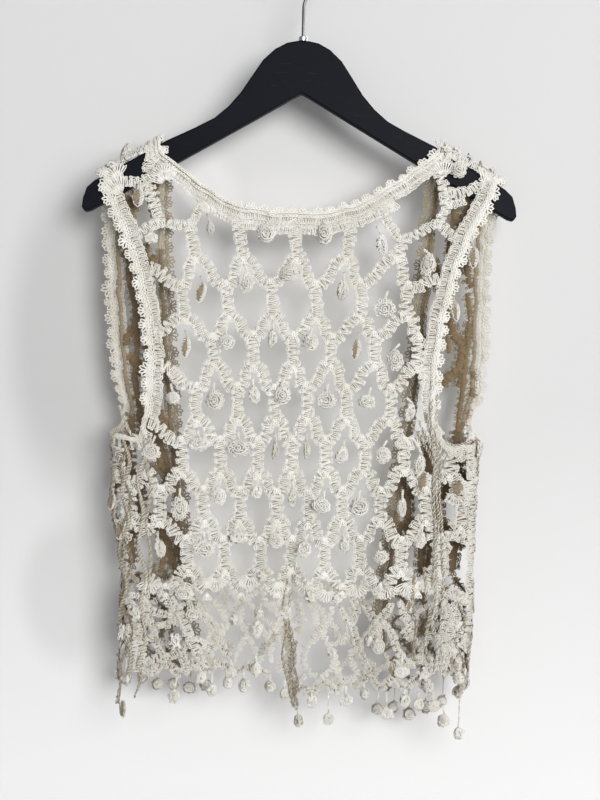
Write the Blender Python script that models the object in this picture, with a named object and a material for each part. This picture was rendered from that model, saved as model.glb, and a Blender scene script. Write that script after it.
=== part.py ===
"""A sleeveless open-front crochet vest hanging on a flat wooden hanger.

Frame: metres, +Z up. The origin is the inside top of the hanger's hook, where a
rail carries it. +X runs to the wearer's right, and the vest's back faces -Y.

The vest is one hollow form: a back and two fronts around an open inside, with
the shoulders over the hanger's arms, two open armholes, an open neck, an open
centre front and an open hem. Every cloth wall is worked out on one surface.
A place on it is a side (NEAR, the back's, or FAR, the fronts'), x and z. Walls
turn over the hanger's arms at the shoulder ridge and round the two side folds.
Numbers in the tables are in millimetres.
"""

import math

import bmesh
import bpy
import numpy as np

MM = 0.001
NEAR, FAR = -1.0, 1.0
LEFT, RIGHT = -1.0, 1.0

# ---------------------------------------------------------------- sizes (mm)
HANGER_THICK = 12.0
HANGER_EDGE = 1.5          # rounding of the hanger's long edges
HUMP_Z = -85.0             # top of the hanger's body
FERRULE_RADIUS = 4.2
FERRULE_HEIGHT = 5.0
WIRE_RADIUS = 1.6
HOOK_RADIUS = 18.0         # middle of the wire
HOOK_BEND_Z = -50.0        # where the straight shank ends
HOOK_JOIN_DEG, HOOK_END_DEG = -35.0, 200.0

PANEL_WALL = 3.0           # lace walls
BAND_IN, BAND_OUT = 1.5, 3.0   # edgings are thicker, all on the outer side
FRINGE_HALF = 3.0
SEAM = 0.45                # gap between neighbouring pieces
HEM_GAP = 1.2              # gap between a panel and its thicker hem trim
TOUCH = 0.3                # gap between hard pieces

SHOULDER_TURN = 8.0        # radius of the cloth over the hanger's arm
RIDGE_X, RIDGE_Z, RIDGE_SLOPE = 135.5, -180.3, 0.584

# The hanger's half outline, from the hump to the tip and back under the V.
HANGER_HALF = (
    # x, z
    (5.0, -85.0), (16.0, -87.3), (28.0, -93.8), (40.0, -105.2),
    (51.7, -123.0), (62.0, -139.0), (74.0, -153.0), (88.0, -165.0),
    (106.0, -174.6), (135.5, -188.8), (174.0, -211.2), (208.0, -231.0),
    (215.5, -238.0), (219.0, -249.0), (220.0, -258.0), (217.0, -262.6),
    (211.0, -261.0), (113.3, -204.4), (50.0, -167.4), (8.0, -142.6),
    (0.0, -138.4),
)

# Half the distance between the near and far walls.
HALF_DEPTH = (
    # z, half_depth
    (-180.0, 8.0), (-264.0, 8.0), (-310.0, 9.6), (-400.0, 12.0),
    (-480.0, 13.5), (-560.0, 14.0), (-720.0, 15.0), (-800.0, 15.0),
)

# The side folds, where the walls turn from near to far. Above the armholes'
# bottoms no cloth reaches them.
SIDE_FOLD = (
    # z, left_x, right_x (distances from the middle)
    (-180.0, 222.0, 222.0), (-400.0, 222.0, 222.0), (-437.0, 205.0, 210.0),
    (-462.0, 193.0, 200.0), (-484.0, 187.0, 191.5), (-513.0, 183.5, 187.0),
    (-553.0, 184.0, 184.7), (-593.0, 176.0, 184.5), (-614.0, 172.5, 183.5),
    (-654.0, 171.5, 184.2), (-735.0, 172.5, 180.0), (-800.0, 172.5, 178.0),
)

# Long soft folds that deepen towards the hem. out is towards the outside.
FOLDS = (
    # side, x, half_width, out, top_z
    (NEAR, 0.0, 10.0, -6.5, -500.0),
    (NEAR, -22.0, 13.0, 4.0, -440.0),
    (NEAR, 24.0, 14.0, 4.5, -440.0),
    (NEAR, -66.0, 17.0, -4.5, -420.0),
    (NEAR, -104.0, 18.0, 4.0, -380.0),
    (NEAR, 62.0, 15.0, -4.0, -400.0),
    (NEAR, 98.0, 17.0, 4.5, -360.0),
    (NEAR, 128.0, 11.0, -3.5, -380.0),
    (FAR, -150.0, 11.0, -4.5, -330.0),
    (FAR, -118.0, 12.0, 4.0, -300.0),
    (FAR, 152.0, 12.0, -4.0, -330.0),
    (FAR, 112.0, 13.0, 4.5, -300.0),
)
FOLD_FADE = 14.0           # folds die out this far from a side fold

# The back neck's edging: its free edge and the edge that joins the back.
NECK_BAND = (
    # edge_x, edge_z, join_x, join_z (None: on the shoulder ridge)
    (-138.0, None, -156.0, None),
    (-134.5, -198.0, -151.5, -209.0),
    (-119.0, -209.0, -132.0, -225.0),
    (-100.0, -223.5, -111.5, -240.0),
    (-80.0, -237.5, -88.0, -256.5),
    (-59.5, -246.5, -64.0, -266.5),
    (-36.0, -250.5, -38.5, -270.5),
    (-10.0, -253.5, -10.5, -272.5),
    (16.0, -253.5, 16.5, -272.5),
    (34.0, -250.5, 37.0, -270.0),
    (53.0, -244.0, 60.0, -263.0),
    (75.0, -233.5, 86.0, -250.0),
    (99.0, -216.5, 112.0, -232.0),
    (117.0, -203.5, 131.5, -218.5),
    (132.0, -191.5, 148.5, -204.5),
    (137.0, None, 155.0, None),
)

# The armholes' edgings, as a ring from the ridge down the near side, round the
# side fold and up the far side. edge is the open side, join meets the panels.
ARMHOLE_LEFT = (
    # side, edge_x, edge_z, join_x, join_z
    (NEAR, -209.0, None, -187.0, None),
    (NEAR, -203.5, -240.0, -184.5, -231.0),
    (NEAR, -195.5, -256.5, -176.5, -248.0),
    (NEAR, -184.5, -280.5, -165.5, -273.0),
    (NEAR, -174.0, -307.5, -154.5, -301.5),
    (NEAR, -165.0, -337.0, -145.0, -332.5),
    (NEAR, -158.0, -370.0, -137.5, -367.5),
    (NEAR, -154.3, -405.0, -133.5, -405.0),
    (NEAR, -154.5, -440.0, -134.0, -441.0),
    (NEAR, -156.5, -463.0, -137.5, -472.0),
    (NEAR, -160.5, -476.0, -143.0, -490.0),
    (NEAR, -166.0, -481.5, -150.0, -502.0),
    (NEAR, -177.0, -481.0, -172.0, -500.8),
    (NEAR, -184.5, -480.5, -181.0, -499.8),
    (0.0, -187.0, -479.0, -187.0, -498.5),
    (FAR, -185.5, -476.0, -182.0, -496.0),
    (FAR, -183.5, -470.0, -169.0, -489.5),
    (FAR, -182.5, -462.0, -164.5, -476.0),
    (FAR, -182.5, -452.0, -162.5, -461.0),
    (FAR, -188.5, -431.0, -168.0, -435.0),
    (FAR, -193.5, -393.0, -173.0, -396.0),
    (FAR, -196.8, -352.0, -176.5, -354.0),
    (FAR, -199.3, -312.0, -179.0, -313.0),
    (FAR, -200.5, -276.0, -180.5, -275.0),
    (FAR, -203.0, -247.0, -183.5, -242.0),
)
ARMHOLE_RIGHT = (
    # side, edge_x, edge_z, join_x, join_z
    (NEAR, 213.0, None, 190.0, None),
    (NEAR, 201.5, -240.0, 183.0, -230.5),
    (NEAR, 192.0, -256.0, 174.0, -247.0),
    (NEAR, 179.5, -280.5, 161.0, -272.5),
    (NEAR, 168.5, -306.0, 149.5, -299.5),
    (NEAR, 160.5, -337.0, 140.5, -332.5),
    (NEAR, 153.5, -370.0, 133.0, -367.0),
    (NEAR, 149.3, -405.0, 128.5, -404.0),
    (NEAR, 146.5, -440.0, 126.0, -440.0),
    (NEAR, 148.0, -465.0, 128.5, -471.0),
    (NEAR, 153.0, -480.0, 137.0, -492.0),
    (NEAR, 161.0, -488.0, 150.0, -505.0),
    (NEAR, 176.0, -487.0, 173.0, -504.0),
    (NEAR, 188.5, -486.5, 183.5, -503.0),
    (0.0, 191.0, -485.0, 191.0, -501.5),
    (FAR, 190.0, -482.0, 185.0, -499.0),
    (FAR, 187.5, -475.0, 173.0, -492.5),
    (FAR, 188.0, -467.0, 168.5, -479.0),
    (FAR, 190.5, -457.0, 169.5, -463.0),
    (FAR, 196.5, -436.0, 175.5, -438.0),
    (FAR, 198.0, -393.0, 177.5, -394.0),
    (FAR, 197.8, -352.0, 177.5, -352.0),
    (FAR, 197.6, -312.0, 177.5, -312.0),
    (FAR, 199.0, -276.0, 179.0, -274.0),
    (FAR, 204.0, -247.0, 185.0, -241.0),
)
SEAM_START = 11            # row of each armhole table where the side seam begins
TURN_ROWS = 3              # rows added over each turn of the shoulder
LOW_JOIN = -478.0          # below this the edging turns round the side fold

# The side seams, near the front of the side folds, below the armholes.
SIDE_SEAM = (
    # z, left_x, right_x (distances from the middle)
    (-500.0, 150.0, 150.0), (-560.0, 151.0, 150.0), (-620.0, 147.0, 149.0),
    (-690.0, 149.0, 150.0), (-750.0, 150.0, 150.0),
)

# The free edges of the two fronts.
FRONT_EDGE = (
    # z, left_x, right_x (distances from the middle)
    (-180.0, 138.0, 137.0), (-230.0, 129.5, 126.0), (-300.0, 127.0, 119.5),
    (-390.0, 121.0, 112.5), (-450.0, 116.0, 107.5), (-520.0, 108.0, 97.5),
    (-600.0, 101.5, 89.5), (-690.0, 91.0, 81.0), (-740.0, 85.0, 79.0),
)
FRONT_BAND = 18.0

# Where the panels end and how far the hem's hanging trim reaches.
HEM_NEAR = (
    # x, hem_z, tip_z
    (-160.0, -721.0, -747.0), (-113.0, -721.0, -748.0),
    (-60.0, -722.0, -741.0), (-24.0, -725.0, -748.0),
    (14.0, -737.0, -770.0), (38.0, -737.0, -768.0), (68.0, -729.0, -752.0),
    (100.0, -731.0, -761.0), (135.0, -738.0, -757.0), (160.0, -744.0, -768.0),
)
HEM_LEFT = (
    # round (share of the way from the front edge to the side seam), hem_z, tip_z
    (0.0, -710.0, -732.0), (0.35, -716.0, -742.0), (0.7, -724.0, -762.0),
    (1.0, -721.0, -747.0),
)
HEM_RIGHT = (
    (0.0, -704.0, -730.0), (0.35, -722.0, -752.0), (0.7, -744.0, -784.0),
    (1.0, -744.0, -768.0),
)

# How finely each wall is cut.
BACK_SEAM_ROWS, FRONT_COLUMNS, SHOULDER_COLUMNS = 10, 7, 3


# ---------------------------------------------------------------- curves
def smooth(xs, ys):
    """A smooth curve through a table's points that never overshoots them."""
    xs, ys = np.asarray(xs, float), np.asarray(ys, float)
    order = np.argsort(xs)
    xs, ys = xs[order], ys[order]
    step = np.diff(ys) / np.diff(xs)
    slope = np.concatenate([step[:1], np.zeros(len(xs) - 2), step[-1:]])
    for i in range(1, len(xs) - 1):
        a, b = step[i - 1], step[i]
        slope[i] = 0.0 if a * b <= 0 else 2 * a * b / (a + b)

    def at(x):
        x = np.clip(np.asarray(x, float), xs[0], xs[-1])
        i = np.clip(np.searchsorted(xs, x) - 1, 0, len(xs) - 2)
        w = xs[i + 1] - xs[i]
        t = (x - xs[i]) / w
        return (
            (1 + 2 * t) * (1 - t) ** 2 * ys[i]
            + t * (1 - t) ** 2 * w * slope[i]
            + t * t * (3 - 2 * t) * ys[i + 1]
            + t * t * (t - 1) * w * slope[i + 1]
        )

    return at


def column(table, index):
    return [row[index] for row in table]


half_depth = smooth(column(HALF_DEPTH, 0), column(HALF_DEPTH, 1))
fold_left = smooth(column(SIDE_FOLD, 0), column(SIDE_FOLD, 1))
fold_right = smooth(column(SIDE_FOLD, 0), column(SIDE_FOLD, 2))
seam_left = smooth(column(SIDE_SEAM, 0), column(SIDE_SEAM, 1))
seam_right = smooth(column(SIDE_SEAM, 0), column(SIDE_SEAM, 2))
edge_left = smooth(column(FRONT_EDGE, 0), column(FRONT_EDGE, 1))
edge_right = smooth(column(FRONT_EDGE, 0), column(FRONT_EDGE, 2))


def ridge(x):
    """The top of the cloth over the hanger's arm."""
    return RIDGE_Z - RIDGE_SLOPE * (np.abs(x) - RIDGE_X)


def side_fold(hand, z):
    return fold_left(z) if hand == LEFT else fold_right(z)


def ease(t):
    t = np.clip(t, 0.0, 1.0)
    return t * t * (3 - 2 * t)


def folds(side, x, z):
    """How far the long folds move a wall outwards."""
    total = 0.0
    for fold_side, at_x, half_width, out, top_z in FOLDS:
        if fold_side == side:
            deep = ease((top_z - z) / (top_z + 720.0))
            total = total + out * deep * math.exp(-(((x - at_x) / half_width) ** 2))
    return total


def drop(s):
    """How far below the ridge a place s along the cloth from the ridge lies."""
    quarter = math.pi / 2 * SHOULDER_TURN
    if s < quarter:
        return SHOULDER_TURN * (1 - math.cos(s / SHOULDER_TURN))
    return SHOULDER_TURN + s - quarter


def along(x, z):
    """The way along the cloth from the ridge down to z. It undoes drop()."""
    fall = max(0.0, float(ridge(x)) - z)
    if fall < SHOULDER_TURN:
        return SHOULDER_TURN * math.acos(1 - fall / SHOULDER_TURN)
    return math.pi / 2 * SHOULDER_TURN + fall - SHOULDER_TURN


def round_of(hand, side, x, z):
    """The signed way round from the side fold to x: below 0 on the near side."""
    r, out = float(half_depth(z)), float(side_fold(hand, z))
    inside = out - abs(x)
    if side == 0.0:
        return 0.0
    if inside < r:
        return side * r * math.acos(1 - max(0.0, inside) / r)
    return side * (math.pi / 2 * r + inside - r)


def place(hand, q, s):
    """The point at q round from the side fold and s along from the ridge."""
    side = -1.0 if q < 0 else 1.0
    x = hand * 170.0
    for _ in range(30):
        z = float(ridge(x)) - drop(s)
        r, out = float(half_depth(z)), float(side_fold(hand, z))
        a = abs(q)
        if a < math.pi / 2 * r:
            inside, deep = r * (1 - math.cos(a / r)), r * math.sin(a / r)
        else:
            inside, deep = a - math.pi / 2 * r + r, r
        new = hand * (out - inside)
        if abs(new - x) < 1e-7:
            x = new
            break
        x = new
    free = float(ease((abs(q) - math.pi / 2 * r) / FOLD_FADE))
    deep += folds(side, x, z) * free
    over = math.sin(min(s / SHOULDER_TURN, math.pi / 2))
    return np.array([x, side * deep * over, z])


def point(side, x, z, hand=None):
    """(the place, the outward direction) on the middle of a wall, in mm."""
    hand = hand or (LEFT if x < 0 else RIGHT)
    return point_round(hand, round_of(hand, side, x, z), along(x, z))


def point_round(hand, q, s):
    h = 0.05
    side = -1.0 if q < 0 else 1.0
    here = place(hand, q, s)
    low = max(0.0, s - h)
    round_way = place(hand, q + h, s) - place(hand, q - h, s)
    down_way = place(hand, q, s + h) - place(hand, q, low)
    if s < 1e-9:  # on the ridge the cloth runs level, out from the middle
        down_way = np.array([0.0, side, 0.0])
    normal = np.cross(round_way, down_way)
    normal /= np.linalg.norm(normal)
    outward = normal if hand == LEFT else -normal
    return here, outward


# ---------------------------------------------------------------- meshes
def wall(name, grid, inner, outer, closed, colour, roughness):
    """A closed wall through grid[i][j] = (place, outward direction)."""
    rows, columns = len(grid), len(grid[0])
    points, faces = [], []
    for offset in (outer, -inner):
        for row in grid:
            points += [(p + n * offset) * MM for p, n in row]
    below = rows * columns

    def number(layer, i, j):
        return layer * below + (i % rows) * columns + j

    for i in range(rows if closed else rows - 1):
        for j in range(columns - 1):
            a = [number(0, i, j), number(0, i, j + 1), number(0, i + 1, j + 1), number(0, i + 1, j)]
            faces += [a, [v + below for v in reversed(a)]]
    for i in range(rows if closed else rows - 1):
        for j, turn in ((0, False), (columns - 1, True)):
            a = [number(0, i, j), number(0, i + 1, j), number(1, i + 1, j), number(1, i, j)]
            faces.append(a[::-1] if turn else a)
    if not closed:
        for j in range(columns - 1):
            for i, turn in ((0, True), (rows - 1, False)):
                a = [number(0, i, j), number(0, i, j + 1), number(1, i, j + 1), number(1, i, j)]
                faces.append(a[::-1] if not turn else a)
    return solid(name, points, faces, colour, roughness, 0.0)


def solid(name, points, faces, colour, roughness, metallic):
    """A new object from points and faces, with its faces turned outwards."""
    mesh = bpy.data.meshes.new(name)
    mesh.from_pydata([tuple(float(c) for c in p) for p in points], [], faces)
    shape = bmesh.new()
    shape.from_mesh(mesh)
    bmesh.ops.recalc_face_normals(shape, faces=shape.faces)
    if shape.calc_volume(signed=True) < 0:
        bmesh.ops.reverse_faces(shape, faces=shape.faces)
    shape.to_mesh(mesh)
    shape.free()
    mesh.shade_smooth()
    mesh.set_sharp_from_angle(angle=math.radians(35))
    thing = bpy.data.objects.new(name, mesh)
    bpy.context.collection.objects.link(thing)
    mesh.materials.append(finish(name, colour, roughness, metallic))
    return thing


def finish(name, colour, roughness, metallic):
    material = bpy.data.materials.new(name)
    material.use_nodes = True
    shader = material.node_tree.nodes["Principled BSDF"]
    shader.inputs["Base Color"].default_value = (*colour, 1.0)
    shader.inputs["Roughness"].default_value = roughness
    shader.inputs["Metallic"].default_value = metallic
    return material


COTTON, COTTON_ROUGH = (0.78, 0.75, 0.66), 0.92
BLACK_PAINT, BLACK_ROUGH = (0.012, 0.013, 0.02), 0.42
STEEL, STEEL_ROUGH = (0.56, 0.56, 0.58), 0.28


def x_of(hand, q, z):
    """The x of q round from the side fold. It undoes round_of()."""
    r, out = float(half_depth(z)), float(side_fold(hand, z))
    a = abs(q)
    if a < math.pi / 2 * r:
        return hand * (out - r * (1 - math.cos(a / r)))
    return hand * (out - r - (a - math.pi / 2 * r))


def over_ridge(first, second, start):
    """Rows of (x, z) pairs over the shoulder's turn, from first, which is on
    the ridge, towards second. start is the way along that first has."""
    rows = []
    for k in range(TURN_ROWS + 1):
        s = start + (math.pi / 2 * SHOULDER_TURN - start) * k / TURN_ROWS
        row = []
        for (x, _), (next_x, next_z) in zip(first, second):
            t = s / along(next_x, next_z)
            at_x = x * (1 - t) + next_x * t
            row.append((at_x, float(ridge(at_x)) - drop(s)))
        rows.append(row)
    return rows


def full_ring(table):
    """An armhole table's rows as (side, edge, join), with rows added over both
    turns of the shoulder."""
    pairs = [(row[0], (row[1], row[2]), (row[3], row[4])) for row in table]
    top = pairs[0]
    near = over_ridge(top[1:], pairs[1][1:], 0.0)
    far = over_ridge(top[1:], pairs[-1][1:], 0.0)
    rows = [(NEAR, *row) for row in near] + pairs[1:]
    return rows + [(FAR, *row) for row in reversed(far[1:])]


def moved(edge, join, gap):
    """join, moved gap further from edge."""
    way = np.subtract(join, edge)
    return tuple(np.add(join, way / np.linalg.norm(way) * gap))


def level(x):
    """The height of a panel's top edge at the shoulder seam."""
    return float(ridge(x)) - drop(SEAM / 2)


def full_neck():
    """The neck table's rows as (edge, join), with rows added over both turns."""
    pairs = [((row[0], row[1]), (row[2], row[3])) for row in NECK_BAND]
    first = over_ridge(pairs[0], pairs[1], SEAM / 2)
    last = over_ridge(pairs[-1], pairs[-2], SEAM / 2)
    return first + pairs[1:-1] + last[::-1]


def armhole_join(row, gap):
    """Where a panel meets an armhole's edging, moved gap off it."""
    side, edge, join = row
    if side == 0.0:
        return (side, join[0], join[1] - 3 * gap)
    if join[1] < LOW_JOIN:
        gap = 3 * gap
    return (side, *moved(edge, join, gap))


# ---------------------------------------------------------------- the panels
def hem_of(table, at):
    line = smooth(column(table, 0), column(table, 1))
    return float(line(at))


def tip_of(table, at):
    line = smooth(column(table, 0), column(table, 2))
    return float(line(at))


def seam_levels(start, end):
    return [start + (end - start) * i / BACK_SEAM_ROWS for i in range(1, BACK_SEAM_ROWS + 1)]


def side_of_back(hand):
    """The back's side edge from the ridge to the hem: [(x, z)]."""
    ring = full_ring(ARMHOLE_LEFT if hand == LEFT else ARMHOLE_RIGHT)
    seam = seam_left if hand == LEFT else seam_right
    line = [armhole_join(row, SEAM)[1:] for row in ring[: SEAM_START + TURN_ROWS + 1]]
    line[0] = (line[0][0], level(line[0][0]))
    x_last = seam(line[-1][1])
    line[-1] = (hand * (float(x_last) - SEAM / 2), line[-1][1] - 0.25)
    hem = hem_of(HEM_NEAR, hand * 150.0)
    for z in seam_levels(line[-1][1], hem):
        line.append((hand * (float(seam(z)) - SEAM / 2), z))
    return line


def back_places():
    """The back's grid of (x, z), rows from top to hem."""
    left, right = side_of_back(LEFT), side_of_back(RIGHT)
    neck = [moved(edge, join, SEAM) for edge, join in full_neck()]
    top = []
    for k in range(SHOULDER_COLUMNS):
        t = k / SHOULDER_COLUMNS
        x = left[0][0] * (1 - t) + neck[0][0] * t
        top.append((x, level(x)))
    top += neck
    for k in range(1, SHOULDER_COLUMNS + 1):
        t = k / SHOULDER_COLUMNS
        x = neck[-1][0] * (1 - t) + right[0][0] * t
        top.append((x, level(x)))
    columns, rows = len(top), len(left)
    grid = []
    for i in range(rows):
        row = []
        for j in range(columns):
            u = j / (columns - 1)
            share = []
            for line in (left, right):
                share.append((line[0][1] - line[i][1]) / (line[0][1] - line[-1][1]))
            v = share[0] * (1 - u) + share[1] * u
            side_x = left[i][0] * (1 - u) + right[i][0] * u
            base_x = left[0][0] * (1 - u) + right[0][0] * u
            reach = (left if u < 0.5 else right)[0][0]
            corner = (neck[0] if u < 0.5 else neck[-1])[0]
            apart = min(1.0, max(0.0, (top[j][0] - corner) / (reach - corner)))
            free = apart + (1 - apart) * ease(v / 0.12)
            x = top[j][0] + (side_x - base_x) * free
            x -= (top[j][0] - base_x) * ease(v * 1.6)
            end_x = left[-1][0] * (1 - u) + right[-1][0] * u
            bottom = left[-1][1] * (1 - u) + right[-1][1] * u
            if 0 < j < columns - 1:
                bottom = hem_of(HEM_NEAR, end_x)
            row.append((x, top[j][1] * (1 - v) + bottom * v))
        grid.append(row)
    return grid


def front_rounds(hand):
    """The front's grid of (q, s), and its free edge's places, top to hem."""
    ring = full_ring(ARMHOLE_LEFT if hand == LEFT else ARMHOLE_RIGHT)
    seam = seam_left if hand == LEFT else seam_right
    edge = edge_left if hand == LEFT else edge_right
    hem = HEM_LEFT if hand == LEFT else HEM_RIGHT
    turned = [(FAR, *ring[0][1:])] + ring[: SEAM_START + TURN_ROWS - 1 : -1]
    outer = [armhole_join(row, SEAM) for row in turned]
    outer[0] = (FAR, outer[0][1], level(outer[0][1]))
    line = []
    for side, x, z in outer:
        line.append((round_of(hand, side, x, z), z))
    start = line[-1][1] - 0.25
    last = float(seam(start))
    line[-1] = (round_of(hand, NEAR, hand * (last + SEAM / 2), start), start)
    for z in seam_levels(start, hem_of(hem, 1.0)):
        line.append((round_of(hand, NEAR, hand * (float(seam(z)) + SEAM / 2), z), z))
    top_z, end_z = line[0][1], line[-1][1]
    inner_top = hand * (float(edge(-180.0)) + FRONT_BAND)
    grid, free = [], []
    for q_out, z_out in line:
        v = (top_z - z_out) / (top_z - end_z)
        row = []
        inner_z = level(inner_top) * (1 - v) + hem_of(hem, 0.0) * v
        inner_x = hand * (float(edge(inner_z)) + FRONT_BAND)
        inner_x += (inner_top - hand * (float(edge(level(inner_top))) + FRONT_BAND)) * (1 - v)
        q_in = round_of(hand, FAR, inner_x + hand * SEAM, inner_z)
        free.append((inner_x, inner_z))
        for j in range(FRONT_COLUMNS + 1):
            u = j / FRONT_COLUMNS
            rise = (1 - u) ** 1.7
            z = inner_z * rise + z_out * (1 - rise)
            bend = hem_of(hem, u) - (hem_of(hem, 0.0) * rise + hem_of(hem, 1.0) * (1 - rise))
            z += bend * v
            q = q_in * (1 - u) + q_out * u
            if v == 0.0:
                x = (inner_top + hand * SEAM) * (1 - u) + outer[0][1] * u
                row.append((round_of(hand, FAR, x, level(x)), SEAM / 2))
            else:
                row.append((q, along(x_of(hand, q, z), z)))
        grid.append(row)
    return grid, free


def make_back():
    places = back_places()
    grid = [[point(NEAR, x, z) for x, z in row] for row in places]
    wall("back_panel", grid, PANEL_WALL / 2, PANEL_WALL / 2, False, COTTON, COTTON_ROUGH)
    hem = places[-1]
    trim = []
    for drop_share in (0.0, 1.0):
        row = []
        for x, z in hem:
            top = z - HEM_GAP
            row.append(point(NEAR, x, top * (1 - drop_share) + tip_of(HEM_NEAR, x) * drop_share))
        trim.append(row)
    wall("back_hem_fringe", trim, FRINGE_HALF, FRINGE_HALF, False, COTTON, COTTON_ROUGH)


def make_front(hand, name):
    rounds, free = front_rounds(hand)
    grid = [[point_round(hand, q, s) for q, s in row] for row in rounds]
    wall("front_" + name, grid, PANEL_WALL / 2, PANEL_WALL / 2, False, COTTON, COTTON_ROUGH)
    edging = []
    for i, (x, z) in enumerate(free):
        row = []
        for k in range(3):
            at_x = x - hand * FRONT_BAND * k / 2
            row.append(point(FAR, at_x, float(ridge(at_x)) - (float(ridge(x)) - z) if z > -230.0 else z))
        edging.append(row)
    wall("front_edging_" + name, edging, BAND_IN, BAND_OUT, False, COTTON, COTTON_ROUGH)
    hem = HEM_LEFT if hand == LEFT else HEM_RIGHT
    trim = []
    for drop_share in (0.0, 1.0):
        row = []
        for j, (q, s) in enumerate(rounds[-1]):
            reach = hem_of(hem, j / FRONT_COLUMNS) - tip_of(hem, j / FRONT_COLUMNS)
            down = HEM_GAP + (reach - HEM_GAP) * drop_share
            z = place(hand, q, s)[2]
            wider = float(side_fold(hand, z - down) - side_fold(hand, z))
            at_q = q + wider * (1 if q > 0 else -1) if abs(q) > 20.0 else q
            row.append(point_round(hand, at_q, s + down))
        trim.append(row)
    wall("front_hem_fringe_" + name, trim, FRINGE_HALF, FRINGE_HALF, False, COTTON, COTTON_ROUGH)


def make_neck_edging():
    grid = []
    for edge, join in full_neck():
        row = []
        for k in range(3):
            x, z = (a * (1 - k / 2) + b * k / 2 for a, b in zip(edge, join))
            row.append(point(NEAR, x, z))
        grid.append(row)
    wall("neck_edging", grid, BAND_IN, BAND_OUT, False, COTTON, COTTON_ROUGH)


def make_armhole_edging(hand, name):
    ring = []
    for side, edge, join in full_ring(ARMHOLE_LEFT if hand == LEFT else ARMHOLE_RIGHT):
        row = []
        q_edge, q_join = (round_of(hand, side, x, z) for x, z in (edge, join))
        for t in (0.0, 0.5, 1.0):
            q = q_edge * (1 - t) + q_join * t
            z = edge[1] * (1 - t) + join[1] * t
            x = x_of(hand, q, z)
            row.append(point_round(hand, q, along(x, z)))
        ring.append(row)
    wall("armhole_edging_" + name, ring, BAND_IN, BAND_OUT, True, COTTON, COTTON_ROUGH)


# ---------------------------------------------------------------- the hanger
def make_hanger():
    half = list(HANGER_HALF)
    outline = half + [(-x, z) for x, z in reversed(half[:-1])]
    front = -HANGER_THICK / 2
    points = [(x * MM, front * MM, z * MM) for x, z in outline]
    points += [(x * MM, -front * MM, z * MM) for x, z in outline]
    count = len(outline)
    faces = [list(range(count)), list(range(2 * count - 1, count - 1, -1))]
    for i in range(count):
        j = (i + 1) % count
        faces.append([j, i, i + count, j + count])
    thing = solid("hanger_body", points, faces, BLACK_PAINT, BLACK_ROUGH, 0.0)
    bevel = thing.modifiers.new("rounded edges", "BEVEL")
    bevel.width = HANGER_EDGE * MM
    bevel.segments = 2
    bevel.limit_method = "ANGLE"
    bevel.angle_limit = math.radians(50)


def make_ferrule():
    sides, rings = 24, []
    profile = (  # radius, height
        (FERRULE_RADIUS - 0.4, 0.0), (FERRULE_RADIUS, 0.4),
        (FERRULE_RADIUS, FERRULE_HEIGHT - 0.8),
        (FERRULE_RADIUS - 0.8, FERRULE_HEIGHT),
    )
    base = HUMP_Z + TOUCH
    for radius, height in profile:
        rings.append([
            (radius * math.cos(2 * math.pi * k / sides) * MM,
             radius * math.sin(2 * math.pi * k / sides) * MM,
             (base + height) * MM)
            for k in range(sides)
        ])
    points = [p for ring in rings for p in ring]
    faces = [list(range(sides))[::-1], [(len(rings) - 1) * sides + k for k in range(sides)]]
    for i in range(len(rings) - 1):
        for k in range(sides):
            n = (k + 1) % sides
            faces.append([i * sides + k, i * sides + n, (i + 1) * sides + n, (i + 1) * sides + k])
    solid("hanger_ferrule", points, faces, STEEL, STEEL_ROUGH, 1.0)


def make_hook():
    centre_z = -(HOOK_RADIUS - WIRE_RADIUS)
    foot = HUMP_Z + TOUCH + FERRULE_HEIGHT + TOUCH
    line = [(0.0, foot + (HOOK_BEND_Z - foot) * k / 3) for k in range(4)]
    join = math.radians(HOOK_JOIN_DEG)
    end = np.array([HOOK_RADIUS * math.cos(join), centre_z + HOOK_RADIUS * math.sin(join)])
    way = np.array([-math.sin(join), math.cos(join)])
    control = [np.array([0.0, HOOK_BEND_Z]), np.array([0.0, HOOK_BEND_Z + 10.0]), end - way * 10.0, end]
    for k in range(1, 9):
        t = k / 8
        p = sum(
            math.comb(3, i) * t**i * (1 - t) ** (3 - i) * control[i] for i in range(4)
        )
        line.append((float(p[0]), float(p[1])))
    turns = 22
    for k in range(1, turns + 1):
        a = math.radians(HOOK_JOIN_DEG + (HOOK_END_DEG - HOOK_JOIN_DEG) * k / turns)
        line.append((HOOK_RADIUS * math.cos(a), centre_z + HOOK_RADIUS * math.sin(a)))
    curve = bpy.data.curves.new("hanger_hook", "CURVE")
    curve.dimensions = "3D"
    curve.bevel_depth = WIRE_RADIUS * MM
    curve.bevel_resolution = 2
    curve.use_fill_caps = True
    spline = curve.splines.new("POLY")
    spline.points.add(len(line) - 1)
    for spot, (x, z) in zip(spline.points, line):
        spot.co = (x * MM, 0.0, z * MM, 1.0)
    thing = bpy.data.objects.new("hanger_hook", curve)
    bpy.context.collection.objects.link(thing)
    curve.materials.append(finish("hanger_hook", (0.02, 0.02, 0.022), 0.35, 1.0))


for old in list(bpy.data.objects):
    bpy.data.objects.remove(old, do_unlink=True)

make_hanger()
make_ferrule()
make_hook()
make_back()
make_neck_edging()
for hand, name in ((LEFT, "left"), (RIGHT, "right")):
    make_front(hand, name)
    make_armhole_edging(hand, name)
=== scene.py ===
"""Looks of the crochet vest on its hanger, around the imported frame.

The crochet is made of real yarn loops: every piece is a joined mesh of yarn
tubes laid on the same surface that the CAD walls are worked out on. Lengths in
the tables are in millimetres; objects are in metres, in the frame's own axes.
The vest's back faces -Y, towards the camera.
"""

import math

import bpy
import numpy as np
from mathutils import Matrix, Vector


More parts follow.
